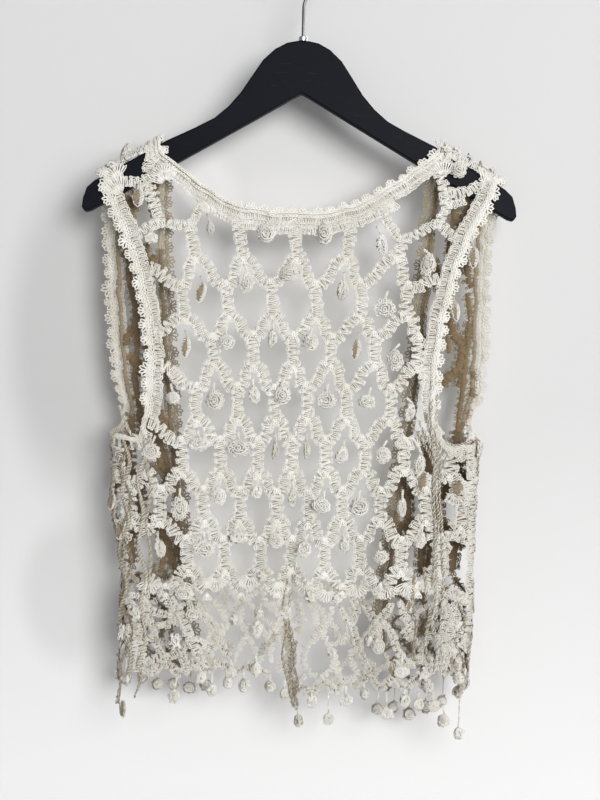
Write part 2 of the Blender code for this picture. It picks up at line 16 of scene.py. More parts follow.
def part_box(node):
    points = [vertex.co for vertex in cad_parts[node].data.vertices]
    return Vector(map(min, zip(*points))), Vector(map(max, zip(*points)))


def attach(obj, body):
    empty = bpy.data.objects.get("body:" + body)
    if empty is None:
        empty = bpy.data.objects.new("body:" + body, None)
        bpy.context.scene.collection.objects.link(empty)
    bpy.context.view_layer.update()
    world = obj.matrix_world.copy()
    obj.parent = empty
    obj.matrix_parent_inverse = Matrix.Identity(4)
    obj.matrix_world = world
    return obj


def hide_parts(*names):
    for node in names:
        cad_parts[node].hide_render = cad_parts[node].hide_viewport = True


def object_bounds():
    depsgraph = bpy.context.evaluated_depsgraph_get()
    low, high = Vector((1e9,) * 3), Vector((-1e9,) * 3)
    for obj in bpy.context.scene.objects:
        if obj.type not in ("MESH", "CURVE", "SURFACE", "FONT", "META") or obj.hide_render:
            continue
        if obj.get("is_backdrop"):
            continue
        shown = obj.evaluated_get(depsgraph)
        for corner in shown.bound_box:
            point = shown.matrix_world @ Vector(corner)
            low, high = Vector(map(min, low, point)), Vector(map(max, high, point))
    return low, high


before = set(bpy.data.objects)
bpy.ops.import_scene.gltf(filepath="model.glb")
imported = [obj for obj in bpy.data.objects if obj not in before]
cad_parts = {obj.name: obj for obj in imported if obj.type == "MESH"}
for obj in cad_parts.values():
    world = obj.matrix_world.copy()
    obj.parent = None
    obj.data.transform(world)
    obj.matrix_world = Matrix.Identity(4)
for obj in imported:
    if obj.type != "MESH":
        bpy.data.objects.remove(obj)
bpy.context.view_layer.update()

MM = 0.001
NEAR, FAR = -1.0, 1.0
LEFT, RIGHT = -1.0, 1.0
rng = np.random.default_rng(576)

# ------------------------------------------------------------------ camera
MM_PER_PIXEL = 1.007      # from the hanger's 440 mm across 437 pixels
ROLL = math.radians(1.3)  # the hanger leans this much in the photo
CAMERA_AWAY = 1500.0      # from the cloth's near side
NEAR_FACE = -12.0
AIM_X, AIM_Z = 5.2, -448.5


def seen(px, py):
    """The (x, z) in millimetres of a place in the 600 x 800 photograph."""
    dx, dy = (px - 303.0) * MM_PER_PIXEL, (py - 39.0) * MM_PER_PIXEL
    c, s = math.cos(ROLL), math.sin(ROLL)
    return np.array([dx * c + dy * s, -85.0 - (-dx * s + dy * c)])


def make_camera():
    lens = bpy.data.cameras.new("camera")
    lens.sensor_fit = "AUTO"
    lens.sensor_width = 36.0
    lens.lens = 36.0 * CAMERA_AWAY / (800 * MM_PER_PIXEL)
    lens.clip_start, lens.clip_end = 0.05, 50.0
    eye = bpy.data.objects.new("camera", lens)
    bpy.context.collection.objects.link(eye)
    eye.location = (AIM_X * MM, (NEAR_FACE - CAMERA_AWAY) * MM, AIM_Z * MM)
    look = Matrix.Rotation(math.radians(90), 4, "X")
    eye.rotation_euler = (Matrix.Rotation(-ROLL, 4, "Y") @ look).to_euler()
    bpy.context.scene.camera = eye


make_camera()

# -------------------------------------------------- the cloth's surface (mm)
SHOULDER_TURN = 8.0
RIDGE_X, RIDGE_Z, RIDGE_SLOPE = 135.5, -180.3, 0.584

HALF_DEPTH = (  # z, half_depth
    (-180.0, 8.0), (-264.0, 8.0), (-310.0, 9.6), (-400.0, 12.0),
    (-480.0, 13.5), (-560.0, 14.0), (-720.0, 15.0), (-800.0, 15.0),
)
SIDE_FOLD = (  # z, left_x, right_x (distances from the middle)
    (-180.0, 222.0, 222.0), (-400.0, 222.0, 222.0), (-437.0, 205.0, 210.0),
    (-462.0, 193.0, 200.0), (-484.0, 187.0, 191.5), (-513.0, 183.5, 187.0),
    (-553.0, 184.0, 184.7), (-593.0, 176.0, 184.5), (-614.0, 172.5, 183.5),
    (-654.0, 171.5, 184.2), (-735.0, 172.5, 180.0), (-800.0, 172.5, 178.0),
)
FOLDS = (  # side, x, half_width, out, top_z
    (NEAR, 0.0, 10.0, -6.5, -500.0),
    (NEAR, -22.0, 13.0, 4.0, -440.0),
    (NEAR, 24.0, 14.0, 4.5, -440.0),
    (NEAR, -66.0, 17.0, -4.5, -420.0),
    (NEAR, -104.0, 18.0, 4.0, -380.0),
    (NEAR, 62.0, 15.0, -4.0, -400.0),
    (NEAR, 98.0, 17.0, 4.5, -360.0),
    (NEAR, 128.0, 11.0, -3.5, -380.0),
    (FAR, -150.0, 11.0, -4.5, -330.0),
    (FAR, -118.0, 12.0, 4.0, -300.0),
    (FAR, 152.0, 12.0, -4.0, -330.0),
    (FAR, 112.0, 13.0, 4.5, -300.0),
)
FOLD_FADE = 14.0

NECK_BAND = (  # edge_x, edge_z, join_x, join_z (None: on the shoulder ridge)
    (-138.0, None, -156.0, None),
    (-134.5, -198.0, -151.5, -209.0),
    (-119.0, -209.0, -132.0, -225.0),
    (-100.0, -223.5, -111.5, -240.0),
    (-80.0, -237.5, -88.0, -256.5),
    (-59.5, -246.5, -64.0, -266.5),
    (-36.0, -250.5, -38.5, -270.5),
    (-10.0, -253.5, -10.5, -272.5),
    (16.0, -253.5, 16.5, -272.5),
    (34.0, -250.5, 37.0, -270.0),
    (53.0, -244.0, 60.0, -263.0),
    (75.0, -233.5, 86.0, -250.0),
    (99.0, -216.5, 112.0, -232.0),
    (117.0, -203.5, 131.5, -218.5),
    (132.0, -191.5, 148.5, -204.5),
    (137.0, None, 155.0, None),
)
ARMHOLE_LEFT = (  # side, edge_x, edge_z, join_x, join_z
    (NEAR, -209.0, None, -187.0, None),
    (NEAR, -203.5, -240.0, -184.5, -231.0),
    (NEAR, -195.5, -256.5, -176.5, -248.0),
    (NEAR, -184.5, -280.5, -165.5, -273.0),
    (NEAR, -174.0, -307.5, -154.5, -301.5),
    (NEAR, -165.0, -337.0, -145.0, -332.5),
    (NEAR, -158.0, -370.0, -137.5, -367.5),
    (NEAR, -154.3, -405.0, -133.5, -405.0),
    (NEAR, -154.5, -440.0, -134.0, -441.0),
    (NEAR, -156.5, -463.0, -137.5, -472.0),
    (NEAR, -160.5, -476.0, -143.0, -490.0),
    (NEAR, -166.0, -481.5, -150.0, -502.0),
    (NEAR, -177.0, -481.0, -172.0, -500.8),
    (NEAR, -184.5, -480.5, -181.0, -499.8),
    (0.0, -187.0, -479.0, -187.0, -498.5),
    (FAR, -185.5, -476.0, -182.0, -496.0),
    (FAR, -183.5, -470.0, -169.0, -489.5),
    (FAR, -182.5, -462.0, -164.5, -476.0),
    (FAR, -182.5, -452.0, -162.5, -461.0),
    (FAR, -188.5, -431.0, -168.0, -435.0),
    (FAR, -193.5, -393.0, -173.0, -396.0),
    (FAR, -196.8, -352.0, -176.5, -354.0),
    (FAR, -199.3, -312.0, -179.0, -313.0),
    (FAR, -200.5, -276.0, -180.5, -275.0),
    (FAR, -203.0, -247.0, -183.5, -242.0),
)
ARMHOLE_RIGHT = (
    (NEAR, 213.0, None, 190.0, None),
    (NEAR, 201.5, -240.0, 183.0, -230.5),
    (NEAR, 192.0, -256.0, 174.0, -247.0),
    (NEAR, 179.5, -280.5, 161.0, -272.5),
    (NEAR, 168.5, -306.0, 149.5, -299.5),
    (NEAR, 160.5, -337.0, 140.5, -332.5),
    (NEAR, 153.5, -370.0, 133.0, -367.0),
    (NEAR, 149.3, -405.0, 128.5, -404.0),
    (NEAR, 146.5, -440.0, 126.0, -440.0),
    (NEAR, 148.0, -465.0, 128.5, -471.0),
    (NEAR, 153.0, -480.0, 137.0, -492.0),
    (NEAR, 161.0, -488.0, 150.0, -505.0),
    (NEAR, 176.0, -487.0, 173.0, -504.0),
    (NEAR, 188.5, -486.5, 183.5, -503.0),
    (0.0, 191.0, -485.0, 191.0, -501.5),
    (FAR, 190.0, -482.0, 185.0, -499.0),
    (FAR, 187.5, -475.0, 173.0, -492.5),
    (FAR, 188.0, -467.0, 168.5, -479.0),
    (FAR, 190.5, -457.0, 169.5, -463.0),
    (FAR, 196.5, -436.0, 175.5, -438.0),
    (FAR, 198.0, -393.0, 177.5, -394.0),
    (FAR, 197.8, -352.0, 177.5, -352.0),
    (FAR, 197.6, -312.0, 177.5, -312.0),
    (FAR, 199.0, -276.0, 179.0, -274.0),
    (FAR, 204.0, -247.0, 185.0, -241.0),
)
SIDE_SEAM = (  # z, left_x, right_x (distances from the middle)
    (-500.0, 150.0, 150.0), (-560.0, 151.0, 150.0), (-620.0, 147.0, 149.0),
    (-690.0, 149.0, 150.0), (-750.0, 150.0, 150.0),
)
FRONT_EDGE = (  # z, left_x, right_x (distances from the middle)
    (-180.0, 138.0, 137.0), (-230.0, 129.5, 126.0), (-300.0, 127.0, 119.5),
    (-390.0, 121.0, 112.5), (-450.0, 116.0, 107.5), (-520.0, 108.0, 97.5),
    (-600.0, 101.5, 89.5), (-690.0, 91.0, 81.0), (-740.0, 85.0, 79.0),
)
FRONT_BAND = 18.0
HEM_NEAR = (  # x, hem_z
    (-160.0, -721.0), (-113.0, -721.0), (-60.0, -722.0), (-24.0, -725.0),
    (14.0, -737.0), (38.0, -737.0), (68.0, -729.0), (100.0, -731.0),
    (135.0, -738.0), (160.0, -744.0),
)
HEM_LEFT = ((0.0, -710.0), (0.35, -716.0), (0.7, -724.0), (1.0, -721.0))
HEM_RIGHT = ((0.0, -704.0), (0.35, -722.0), (0.7, -744.0), (1.0, -744.0))


def smooth(xs, ys):
    """A smooth curve through a table's points that never overshoots them."""
    xs, ys = np.asarray(xs, float), np.asarray(ys, float)
    order = np.argsort(xs)
    xs, ys = xs[order], ys[order]
    step = np.diff(ys) / np.diff(xs)
    slope = np.concatenate([step[:1], np.zeros(len(xs) - 2), step[-1:]])
    for i in range(1, len(xs) - 1):
        a, b = step[i - 1], step[i]
        slope[i] = 0.0 if a * b <= 0 else 2 * a * b / (a + b)

    def at(x):
        x = np.clip(np.asarray(x, float), xs[0], xs[-1])
        i = np.clip(np.searchsorted(xs, x) - 1, 0, len(xs) - 2)
        w = xs[i + 1] - xs[i]
        t = (x - xs[i]) / w
        return (
            (1 + 2 * t) * (1 - t) ** 2 * ys[i]
            + t * (1 - t) ** 2 * w * slope[i]
            + t * t * (3 - 2 * t) * ys[i + 1]
            + t * t * (t - 1) * w * slope[i + 1]
        )

    return at


def column(table, index):
    return [row[index] for row in table]


half_depth = smooth(column(HALF_DEPTH, 0), column(HALF_DEPTH, 1))
fold_left = smooth(column(SIDE_FOLD, 0), column(SIDE_FOLD, 1))
fold_right = smooth(column(SIDE_FOLD, 0), column(SIDE_FOLD, 2))
seam_left = smooth(column(SIDE_SEAM, 0), column(SIDE_SEAM, 1))
seam_right = smooth(column(SIDE_SEAM, 0), column(SIDE_SEAM, 2))
edge_left = smooth(column(FRONT_EDGE, 0), column(FRONT_EDGE, 1))
edge_right = smooth(column(FRONT_EDGE, 0), column(FRONT_EDGE, 2))
hem_near = smooth(column(HEM_NEAR, 0), column(HEM_NEAR, 1))
hem_left = smooth(column(HEM_LEFT, 0), column(HEM_LEFT, 1))
hem_right = smooth(column(HEM_RIGHT, 0), column(HEM_RIGHT, 1))


def ease(t):
    t = np.clip(t, 0.0, 1.0)
    return t * t * (3 - 2 * t)


def ridge(x):
    return RIDGE_Z - RIDGE_SLOPE * (np.abs(x) - RIDGE_X)


def side_fold(hand, z):
    return np.where(hand < 0, fold_left(z), fold_right(z))


def drop(s):
    quarter = math.pi / 2 * SHOULDER_TURN
    s = np.asarray(s, float)
    turned = SHOULDER_TURN * (1 - np.cos(np.minimum(s, quarter) / SHOULDER_TURN))
    return np.where(s < quarter, turned, SHOULDER_TURN + s - quarter)


def along(x, z):
    fall = np.maximum(0.0, ridge(x) - z)
    turned = SHOULDER_TURN * np.arccos(np.clip(1 - fall / SHOULDER_TURN, -1, 1))
    straight = math.pi / 2 * SHOULDER_TURN + fall - SHOULDER_TURN
    return np.where(fall < SHOULDER_TURN, turned, straight)


def round_of(hand, side, x, z):
    r, out = half_depth(z), side_fold(hand, z)
    inside = out - np.abs(x)
    turned = r * np.arccos(np.clip(1 - np.maximum(0.0, inside) / r, -1, 1))
    return side * np.where(inside < r, turned, math.pi / 2 * r + inside - r)


def x_of(hand, q, z):
    r, out = half_depth(z), side_fold(hand, z)
    a = np.abs(q)
    quarter = math.pi / 2 * r
    turned = out - r * (1 - np.cos(np.minimum(a, quarter) / r))
    return hand * np.where(a < quarter, turned, out - r - (a - quarter))


def folds(side, x, z):
    total = np.zeros(np.shape(x))
    for fold_side, at_x, half_width, out, top_z in FOLDS:
        deep = ease((top_z - z) / (top_z + 720.0))
        here = out * deep * np.exp(-(((x - at_x) / half_width) ** 2))
        total = total + np.where(side == fold_side, here, 0.0)
    return total


def spot(hand, q, z, side):
    """The place on the cloth's middle surface."""
    r, out = half_depth(z), side_fold(hand, z)
    a = np.abs(q)
    quarter = math.pi / 2 * r
    turn = np.minimum(a, quarter) / r
    inside = np.where(a < quarter, r * (1 - np.cos(turn)), a - quarter + r)
    deep = np.where(a < quarter, r * np.sin(turn), r)
    x = hand * (out - inside)
    deep = deep + folds(side, x, z) * ease((a - quarter) / FOLD_FADE)
    over = np.sin(np.minimum(along(x, z) / SHOULDER_TURN, math.pi / 2))
    return np.stack([x, side * deep * over, z], axis=-1)


def skin(hand, q, z, side=None):
    """(places, outward directions) of arrays of (q, z) on one hand's cloth."""
    q, z = np.broadcast_arrays(np.asarray(q, float), np.asarray(z, float))
    hand = np.broadcast_to(np.asarray(hand, float), q.shape)
    side = np.where(q < 0, -1.0, 1.0) if side is None else np.broadcast_to(side, q.shape)
    here = spot(hand, q, z, side)
    h = 0.4
    round_way = spot(hand, q + h, z, side) - spot(hand, q - h, z, side)
    s = along(here[..., 0], z)
    low, high = np.maximum(0.0, s - h), s + h
    top = ridge(here[..., 0])
    down_way = spot(hand, q, top - drop(high), side) - spot(hand, q, top - drop(low), side)
    normal = np.cross(round_way, down_way)
    normal /= np.maximum(np.linalg.norm(normal, axis=-1, keepdims=True), 1e-12)
    return here, normal * np.where(hand < 0, 1.0, -1.0)[..., None]


def on_side(side):
    """A chart of (x, z) on the near or the far side."""

    def chart(points):
        x, z = points[..., 0], points[..., 1]
        hand = np.where(x < 0, -1.0, 1.0)
        z = np.minimum(z, ridge(x) - 1e-6)
        return skin(hand, round_of(hand, side, x, z), z, side)

    return chart


def on_front(hand):
    """A chart of (q, z) on one front, which wraps round its side fold."""

    def chart(points):
        q, z = points[..., 0], points[..., 1]
        return skin(hand, q, np.minimum(z, ridge(x_of(hand, q, z)) - 1e-6))

    return chart


near_chart, far_chart = on_side(NEAR), on_side(FAR)


# ------------------------------------------------------------- yarn meshes
class Yarn:
    """Collects yarn tubes and other faces, and makes one mesh of them."""

    def __init__(self, name):
        self.name, self.count = name, 0
        self.points, self.shades, self.loops, self.sizes = [], [], [], []

    def add(self, points, faces, shade):
        """points (n, 3) in mm; faces (f, k) of one size k."""
        self.points.append(np.asarray(points, float).reshape(-1, 3))
        self.shades.append(np.broadcast_to(shade, (len(self.points[-1]),)).astype(float))
        faces = np.asarray(faces, np.int64)
        self.loops.append((faces + self.count).ravel())
        self.sizes.append(np.full(len(faces), faces.shape[1]))
        self.count += len(self.points[-1])

    def tubes(self, paths, up, radius, closed=True, sides=5, shade=0.0, crevice=0.55, flat=1.0, inner=1.0):
        """Tubes along paths (N, n, 3), with up (N, n, 3) the way outwards. flat
        is how much wider than thick the tube is. shade is painted shade over
        the whole tube; crevice adds painted shade on the side turned away from
        up, as shade between the yarns, and inner caps that added shade."""
        paths, up = np.asarray(paths, float), np.asarray(up, float)
        number, n = paths.shape[:2]
        if number == 0:
            return
        if closed:
            way = np.roll(paths, -1, 1) - np.roll(paths, 1, 1)
        else:
            way = np.gradient(paths, axis=1)
        way /= np.maximum(np.linalg.norm(way, axis=-1, keepdims=True), 1e-9)
        across = np.cross(way, up)
        across /= np.maximum(np.linalg.norm(across, axis=-1, keepdims=True), 1e-9)
        raised = np.cross(across, way)
        turn = 2 * math.pi * (np.arange(sides) + 0.5) / sides
        radius = np.broadcast_to(np.asarray(radius, float), (number, n))[..., None, None]
        ring = (
            paths[:, :, None]
            + radius * np.cos(turn)[:, None] * raised[:, :, None]
            + flat * radius * np.sin(turn)[:, None] * across[:, :, None]
        )
        base = np.broadcast_to(np.asarray(shade, float), (number, n))[..., None]
        # painted shade: darker on the yarn's side turned away from up
        tone = base + (1 - base) * crevice * np.minimum(inner, ((1 - np.cos(turn)) / 2) ** 1.5)
        i = np.arange(n if closed else n - 1)[:, None]
        k = np.arange(sides)[None]
        j, l = (i + 1) % n, (k + 1) % sides
        quad = np.stack([i * sides + k, i * sides + l, j * sides + l, j * sides + k], -1)
        quad = quad.reshape(-1, 4)
        start = (np.arange(number) * n * sides)[:, None, None]
        if not closed:
            cap = np.stack([np.arange(sides)[::-1], (n - 1) * sides + np.arange(sides)])
            caps = (start + cap[None]).reshape(-1, sides)
        self.add(ring, (start + quad[None]).reshape(-1, 4), tone.ravel())
        if not closed:
            self.loops.append((caps + self.count - number * n * sides).ravel())
            self.sizes.append(np.full(len(caps), sides))

    def triangles(self):
        return int(sum((s - 2).sum() for s in self.sizes))

    def make(self, material, slot, *stands_for):
        points = np.concatenate(self.points) * MM
        loops, sizes = np.concatenate(self.loops), np.concatenate(self.sizes)
        mesh = bpy.data.meshes.new(self.name)
        mesh.vertices.add(len(points))
        mesh.vertices.foreach_set("co", points.astype(np.float32).ravel())
        mesh.loops.add(len(loops))
        mesh.loops.foreach_set("vertex_index", loops.astype(np.int32))
        mesh.polygons.add(len(sizes))
        starts = np.concatenate([[0], np.cumsum(sizes)[:-1]])
        mesh.polygons.foreach_set("loop_start", starts.astype(np.int32))
        mesh.polygons.foreach_set("loop_total", sizes.astype(np.int32))
        mesh.update(calc_edges=True)
        mesh.shade_smooth()
        shade = mesh.attributes.new("shade", "FLOAT", "POINT")
        shade.data.foreach_set("value", np.clip(np.concatenate(self.shades), 0, 1).astype(np.float32))
        piece = bpy.data.objects.new(self.name, mesh)
        bpy.context.collection.objects.link(piece)
        mesh.materials.append(material)
        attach(piece, "root")
        if stands_for:
            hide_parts(*stands_for)
        print("piece", self.name, self.triangles())
        return piece


YARN = 0.62                # radius of the yarn
# One stitch seen from above: a long closed loop, as shares of its half length
# and as millimetres along the strip.
LOOP_ACROSS = np.array([-0.70, 0.0, 0.70, 0.97, 0.97, 0.70, 0.0, -0.70, -0.97, -0.97])
LOOP_ALONG = np.array([0.88, 0.93, 0.88, 0.46, -0.46, -0.88, -0.93, -0.88, -0.46, 0.46])
SMALL_ACROSS = np.array([-0.6, 0.0, 0.6, 0.97, 0.6, 0.0, -0.6, -0.97])
SMALL_ALONG = np.array([0.85, 0.95, 0.85, 0.0, -0.85, -0.95, -0.85, 0.0])


def resampled(points, step):
    """Places step apart on a smooth curve through points, with directions."""
    points = np.asarray(points, float)
    if len(points) == 2:
        fine = points[0] + (points[1] - points[0]) * np.linspace(0, 1, 60)[:, None]
    else:
        ghost = np.concatenate([[2 * points[0] - points[1]], points, [2 * points[-1] - points[-2]]])
        parts = []
        t = np.linspace(0, 1, 24, endpoint=False)[:, None]
        for a, b, c, d in zip(ghost, ghost[1:], ghost[2:], ghost[3:]):
            parts.append(
                0.5 * (2 * b + (c - a) * t + (2 * a - 5 * b + 4 * c - d) * t**2
                       + (3 * b - a - 3 * c + d) * t**3)
            )
        fine = np.concatenate(parts + [points[-1:]])
    run = np.concatenate([[0], np.cumsum(np.linalg.norm(np.diff(fine, axis=0), axis=1))])
    count = max(2, int(round(run[-1] / step)))
    want = (np.arange(count) + 0.5) * run[-1] / count
    at = np.stack([np.interp(want, run, fine[:, k]) for k in range(fine.shape[1])], 1)
    low = np.stack([np.interp(want - 0.5, run, fine[:, k]) for k in range(fine.shape[1])], 1)
    high = np.stack([np.interp(want + 0.5, run, fine[:, k]) for k in range(fine.shape[1])], 1)
    way = high - low
    way /= np.linalg.norm(way, axis=1, keepdims=True)
    return at, way, want / run[-1]


def rope(yarn, chart, points, shade=0.1, raised=1.5, strands=3, helix=1.15, radius=0.62, lay=7.0, crevice=0.7):
    """Twisted strands along a path on a chart, for cords that hang twisted.
    Every other strand is painted darker, as shade from its neighbours,
    and each strand gets painted shade on its underside."""
    at, way, t = resampled(points, 1.7)
    n = len(at)
    side = np.stack([-way[:, 1], way[:, 0]], 1)
    fat = helix * (1 + 0.35 * np.sin(t * n * 0.21 + points[0][0]))
    paths, ups, tones = [], [], []
    for k in range(strands):
        phase = 2 * math.pi * (t * n * 1.7 / lay + k / strands) + 0.7 * np.sin(t * n * 0.13)
        flat = at + side * (fat * np.cos(phase))[:, None] + rng.normal(0, 0.24, (n, 2))
        place, normal = chart(flat)
        up = np.sin(phase)
        paths.append(place + normal * (raised + fat * up)[:, None])
        ups.append(normal * (1.2 + up)[:, None] + np.array([0.3, 0.0, 0.0]) * np.cos(phase)[:, None])
        # painted shade: every other strand, and each strand's underside
        tones.append(np.clip(shade + 0.25 * (k % 2) + 0.22 * (1 - up), 0, 0.9))
    yarn.tubes(np.array(paths), np.array(ups), radius, False, 4, np.array(tones), crevice)


class Stitches:
    """Gathers stitches on one chart, then lays them all as yarn at once."""

    def __init__(self, chart):
        self.chart = chart
        self.rows = []

    def stitch(self, at, way, half, raised=0.0, shade=0.0):
        """Stitches at (n, 2), along way (n, 2), reaching half to each side."""
        n = len(at)
        self.rows.append(np.concatenate([
            at, way, np.broadcast_to(half, (n,))[:, None],
            np.broadcast_to(raised, (n,))[:, None], np.broadcast_to(shade, (n,))[:, None],
        ], 1))

    def strip(self, points, half, pitch=3.6, raised=0.0, shade=0.0, taper=0.0):
        at, way, t = resampled(points, pitch)
        n = len(at)
        wide = half * (1 + rng.normal(0, 0.07, n))
        wide *= 1 - taper * (1 - np.minimum(1.0, 4 * np.minimum(t, 1 - t)))
        at = at + rng.normal(0, 0.28, (n, 2))
        lean = rng.normal(0, 0.10, n) + 0.08 + 0.19 * (-1.0) ** np.arange(n)
        c, s = np.cos(lean), np.sin(lean)
        way = np.stack([way[:, 0] * c - way[:, 1] * s, way[:, 0] * s + way[:, 1] * c], 1)
        self.stitch(at, way, wide, raised + rng.normal(0, 0.3, n), shade)

    def lay(self, yarn, small=False, radius=YARN, sides=4, bulge=0.9, crevice=0.5, rails=True, core=0.5,
            far_crevice=None, rail_sides=3, fat=1.15):
        """Each stitch is a post of two strands, with a small loop at each end,
        over a core: a flat strip for the chain the posts are worked over, its
        dark tone painted shade in the slots between the strands. crevice and
        far_crevice set the strands' painted shade on the near and far sides."""
        rows = np.concatenate(self.rows)
        at, way, half, raised, shade = rows[:, :2], rows[:, 2:4], rows[:, 4], rows[:, 5], rows[:, 6]
        count = len(rows)
        side = np.stack([-way[:, 1], way[:, 0]], 1)
        # near pieces get less painted shade on their inner side
        pale_inside = far_crevice is None and crevice <= 0.65

        def loops(centre, a, b, rise, thick, noise=0.13, sides=sides):
            """Loops of shape (a across, b along) about centre (across, along)."""
            flat = np.stack([a, b], -1) + centre[:, None] + rng.normal(0, noise, (count, a.shape[1], 2))
            points = at[:, None] + side[:, None] * flat[..., :1] + way[:, None] * flat[..., 1:]
            place, normal = self.chart(points)
            height = rise + raised[:, None] + rng.normal(0, 0.13, (count, a.shape[1]))
            path = place + normal * height[..., None]
            tone = shade[:, None] + np.zeros(a.shape[1])
            deep = crevice
            if far_crevice is not None:
                deep = np.where(place[..., 1] > 2.0, far_crevice, crevice)[..., None]
            yarn.tubes(path, normal, thick * (1 + rng.normal(0, 0.06, (count, 1))), True, sides, tone, deep,
                       inner=0.4 if pale_inside and sides > 3 else 1.0)

        a, b = (SMALL_ACROSS, SMALL_ALONG) if small else (LOOP_ACROSS, LOOP_ALONG)
        if small:
            wide = half[:, None]
            loops(np.zeros((count, 2)), a[None] * wide, fat * b[None] + 0 * wide,
                  bulge * (1 - a[None] ** 2), radius * 1.25)
            return
        if not rails:
            a, b = SMALL_ACROSS, SMALL_ALONG
        inner = half[:, None] * (1 + rng.normal(0, 0.08, (count, 1))) - (1.7 if rails else 0.0)
        open_by = rng.uniform(0.62, 1.12, (count, 1))
        shift = np.stack([rng.normal(0, 0.35, count), np.zeros(count)], 1)
        loops(shift, a[None] * inner, open_by * b[None] + 0 * inner,
              bulge * (0.85 - 0.6 * a[None] ** 2), radius * 1.04)
        if rails:
            turn = np.arange(6) / 6 * 2 * math.pi
            for hand in (-1, 1):
                centre = np.stack([hand * (half - 1.35) + rng.normal(0, 0.22, count), rng.normal(0, 0.3, count)], 1)
                big = 1 + rng.normal(0, 0.1, (count, 1))
                loops(centre, 1.15 * np.cos(turn)[None] * big, 1.85 * np.sin(turn)[None] * big,
                      0.75 + 0.35 * np.cos(turn - hand)[None] + 0 * big, radius * 1.08, 0.13, rail_sides)
        if core:
            along_way = np.array([-2.1, 0.0, 2.1])
            points = at[:, None] + way[:, None] * along_way[None, :, None]
            place, normal = self.chart(points)
            path = place + normal * (raised[:, None] - 0.55)[..., None]
            # the core's tone is painted shade, held lighter on the far side
            tone = np.maximum(core, shade[:, None]) + np.zeros(3)
            if far_crevice is not None:
                tone = np.where(place[..., 1] > 2.0, np.minimum(tone, far_crevice + 0.25), tone)
            wide = np.maximum(0.8, half - 2.4)[:, None] + np.zeros(3)
            yarn.tubes(path, normal, 0.4, False, 4, tone, 0.0 if pale_inside else 0.5,
                       flat=(wide / 0.4)[..., None, None])


# ------------------------------------------------------------ the back's chart
# The honeycomb's upright bars, in the photo's pixels: a row's top and bottom
# heights, then each bar's x at the top and at the bottom. A bar whose
# first x is None is only a place that the arms below start from.
BARS = (
    # y_top, y_bottom, ((x_top, x_bottom), ...), joined (x, y) at the left and right
    (217.0, 257.0, ((188, 195), (236, 243), (293, 297), (351, 346), (None, 397)), None, None),
    (286.0, 316.0, ((181, 185), (226, 229), (270, 272), (315, 316), (360, 361), (408, 408)),
     (147, 268), (442, 280)),
    (338.0, 365.0, ((212, 214), (253, 253), (293, 293), (332, 331), (374, 374), (419, 417)),
     (152, 331), None),
    (389.0, 420.0, ((197, 197), (237, 238), (274, 275), (306, 307), (346, 346), (390, 389)),
     (158, 366), (432, 386)),
    (442.0, 472.0, ((181, 182), (221, 220), (258, 257), (292, 291), (325, 326), (362, 363), (404, 403)),
     (147, 423), (443, 430)),
    (493.0, 521.0, ((161, 160), (203, 205), (240, 239), (277, 277), (308, 308), (342, 342), (381, 380), (425, 426)),
     (142, 470), (440, 478)),
    (542.0, 570.0, ((187, 189), (223, 225), (260, 259), (292, 291), (324, 324), (360, 359), (401, 400), (438, 437)),
     (144, 526), None),
    (588.0, 592.0, ((166, 166), (207, 207), (241, 241), (277, 277), (309, 309), (342, 342), (381, 381), (418, 418)),
     (144, 578), (440, 580)),
)

# Other strips near the shoulders and sides, in pixels: half width in mm, places.
NEAR_STRIPS = (
    (5.0, ((204, 200), (197, 212), (190, 226))),
    (5.0, ((162, 222), (174, 224), (190, 226))),
    (5.5, ((162, 222), (150, 226), (138, 234))),
    (6.5, ((152, 152), (148, 168), (149, 186), (154, 204), (161, 221))),
    (4.0, ((168, 150), (152, 147), (138, 150), (122, 158), (108, 168))),
    (5.5, ((110, 184), (121, 181), (134, 182), (148, 186))),
    (5.5, ((379, 208), (388, 222), (400, 239))),
    (6.3, ((400, 241), (401, 251), (397, 260))),
    (5.0, ((398, 238), (412, 237), (426, 229), (440, 222))),
    (5.5, ((440, 222), (448, 232), (456, 238))),
    (6.0, ((430, 158), (438, 170), (444, 188), (446, 206), (440, 222))),
    (4.5, ((438, 152), (450, 153.5), (462, 158), (474, 164), (486, 171), (497, 178))),
    (5.5, ((444, 190), (456, 193), (470, 190), (484, 181))),
    (4.5, ((446, 206), (456, 203), (466, 200))),
)


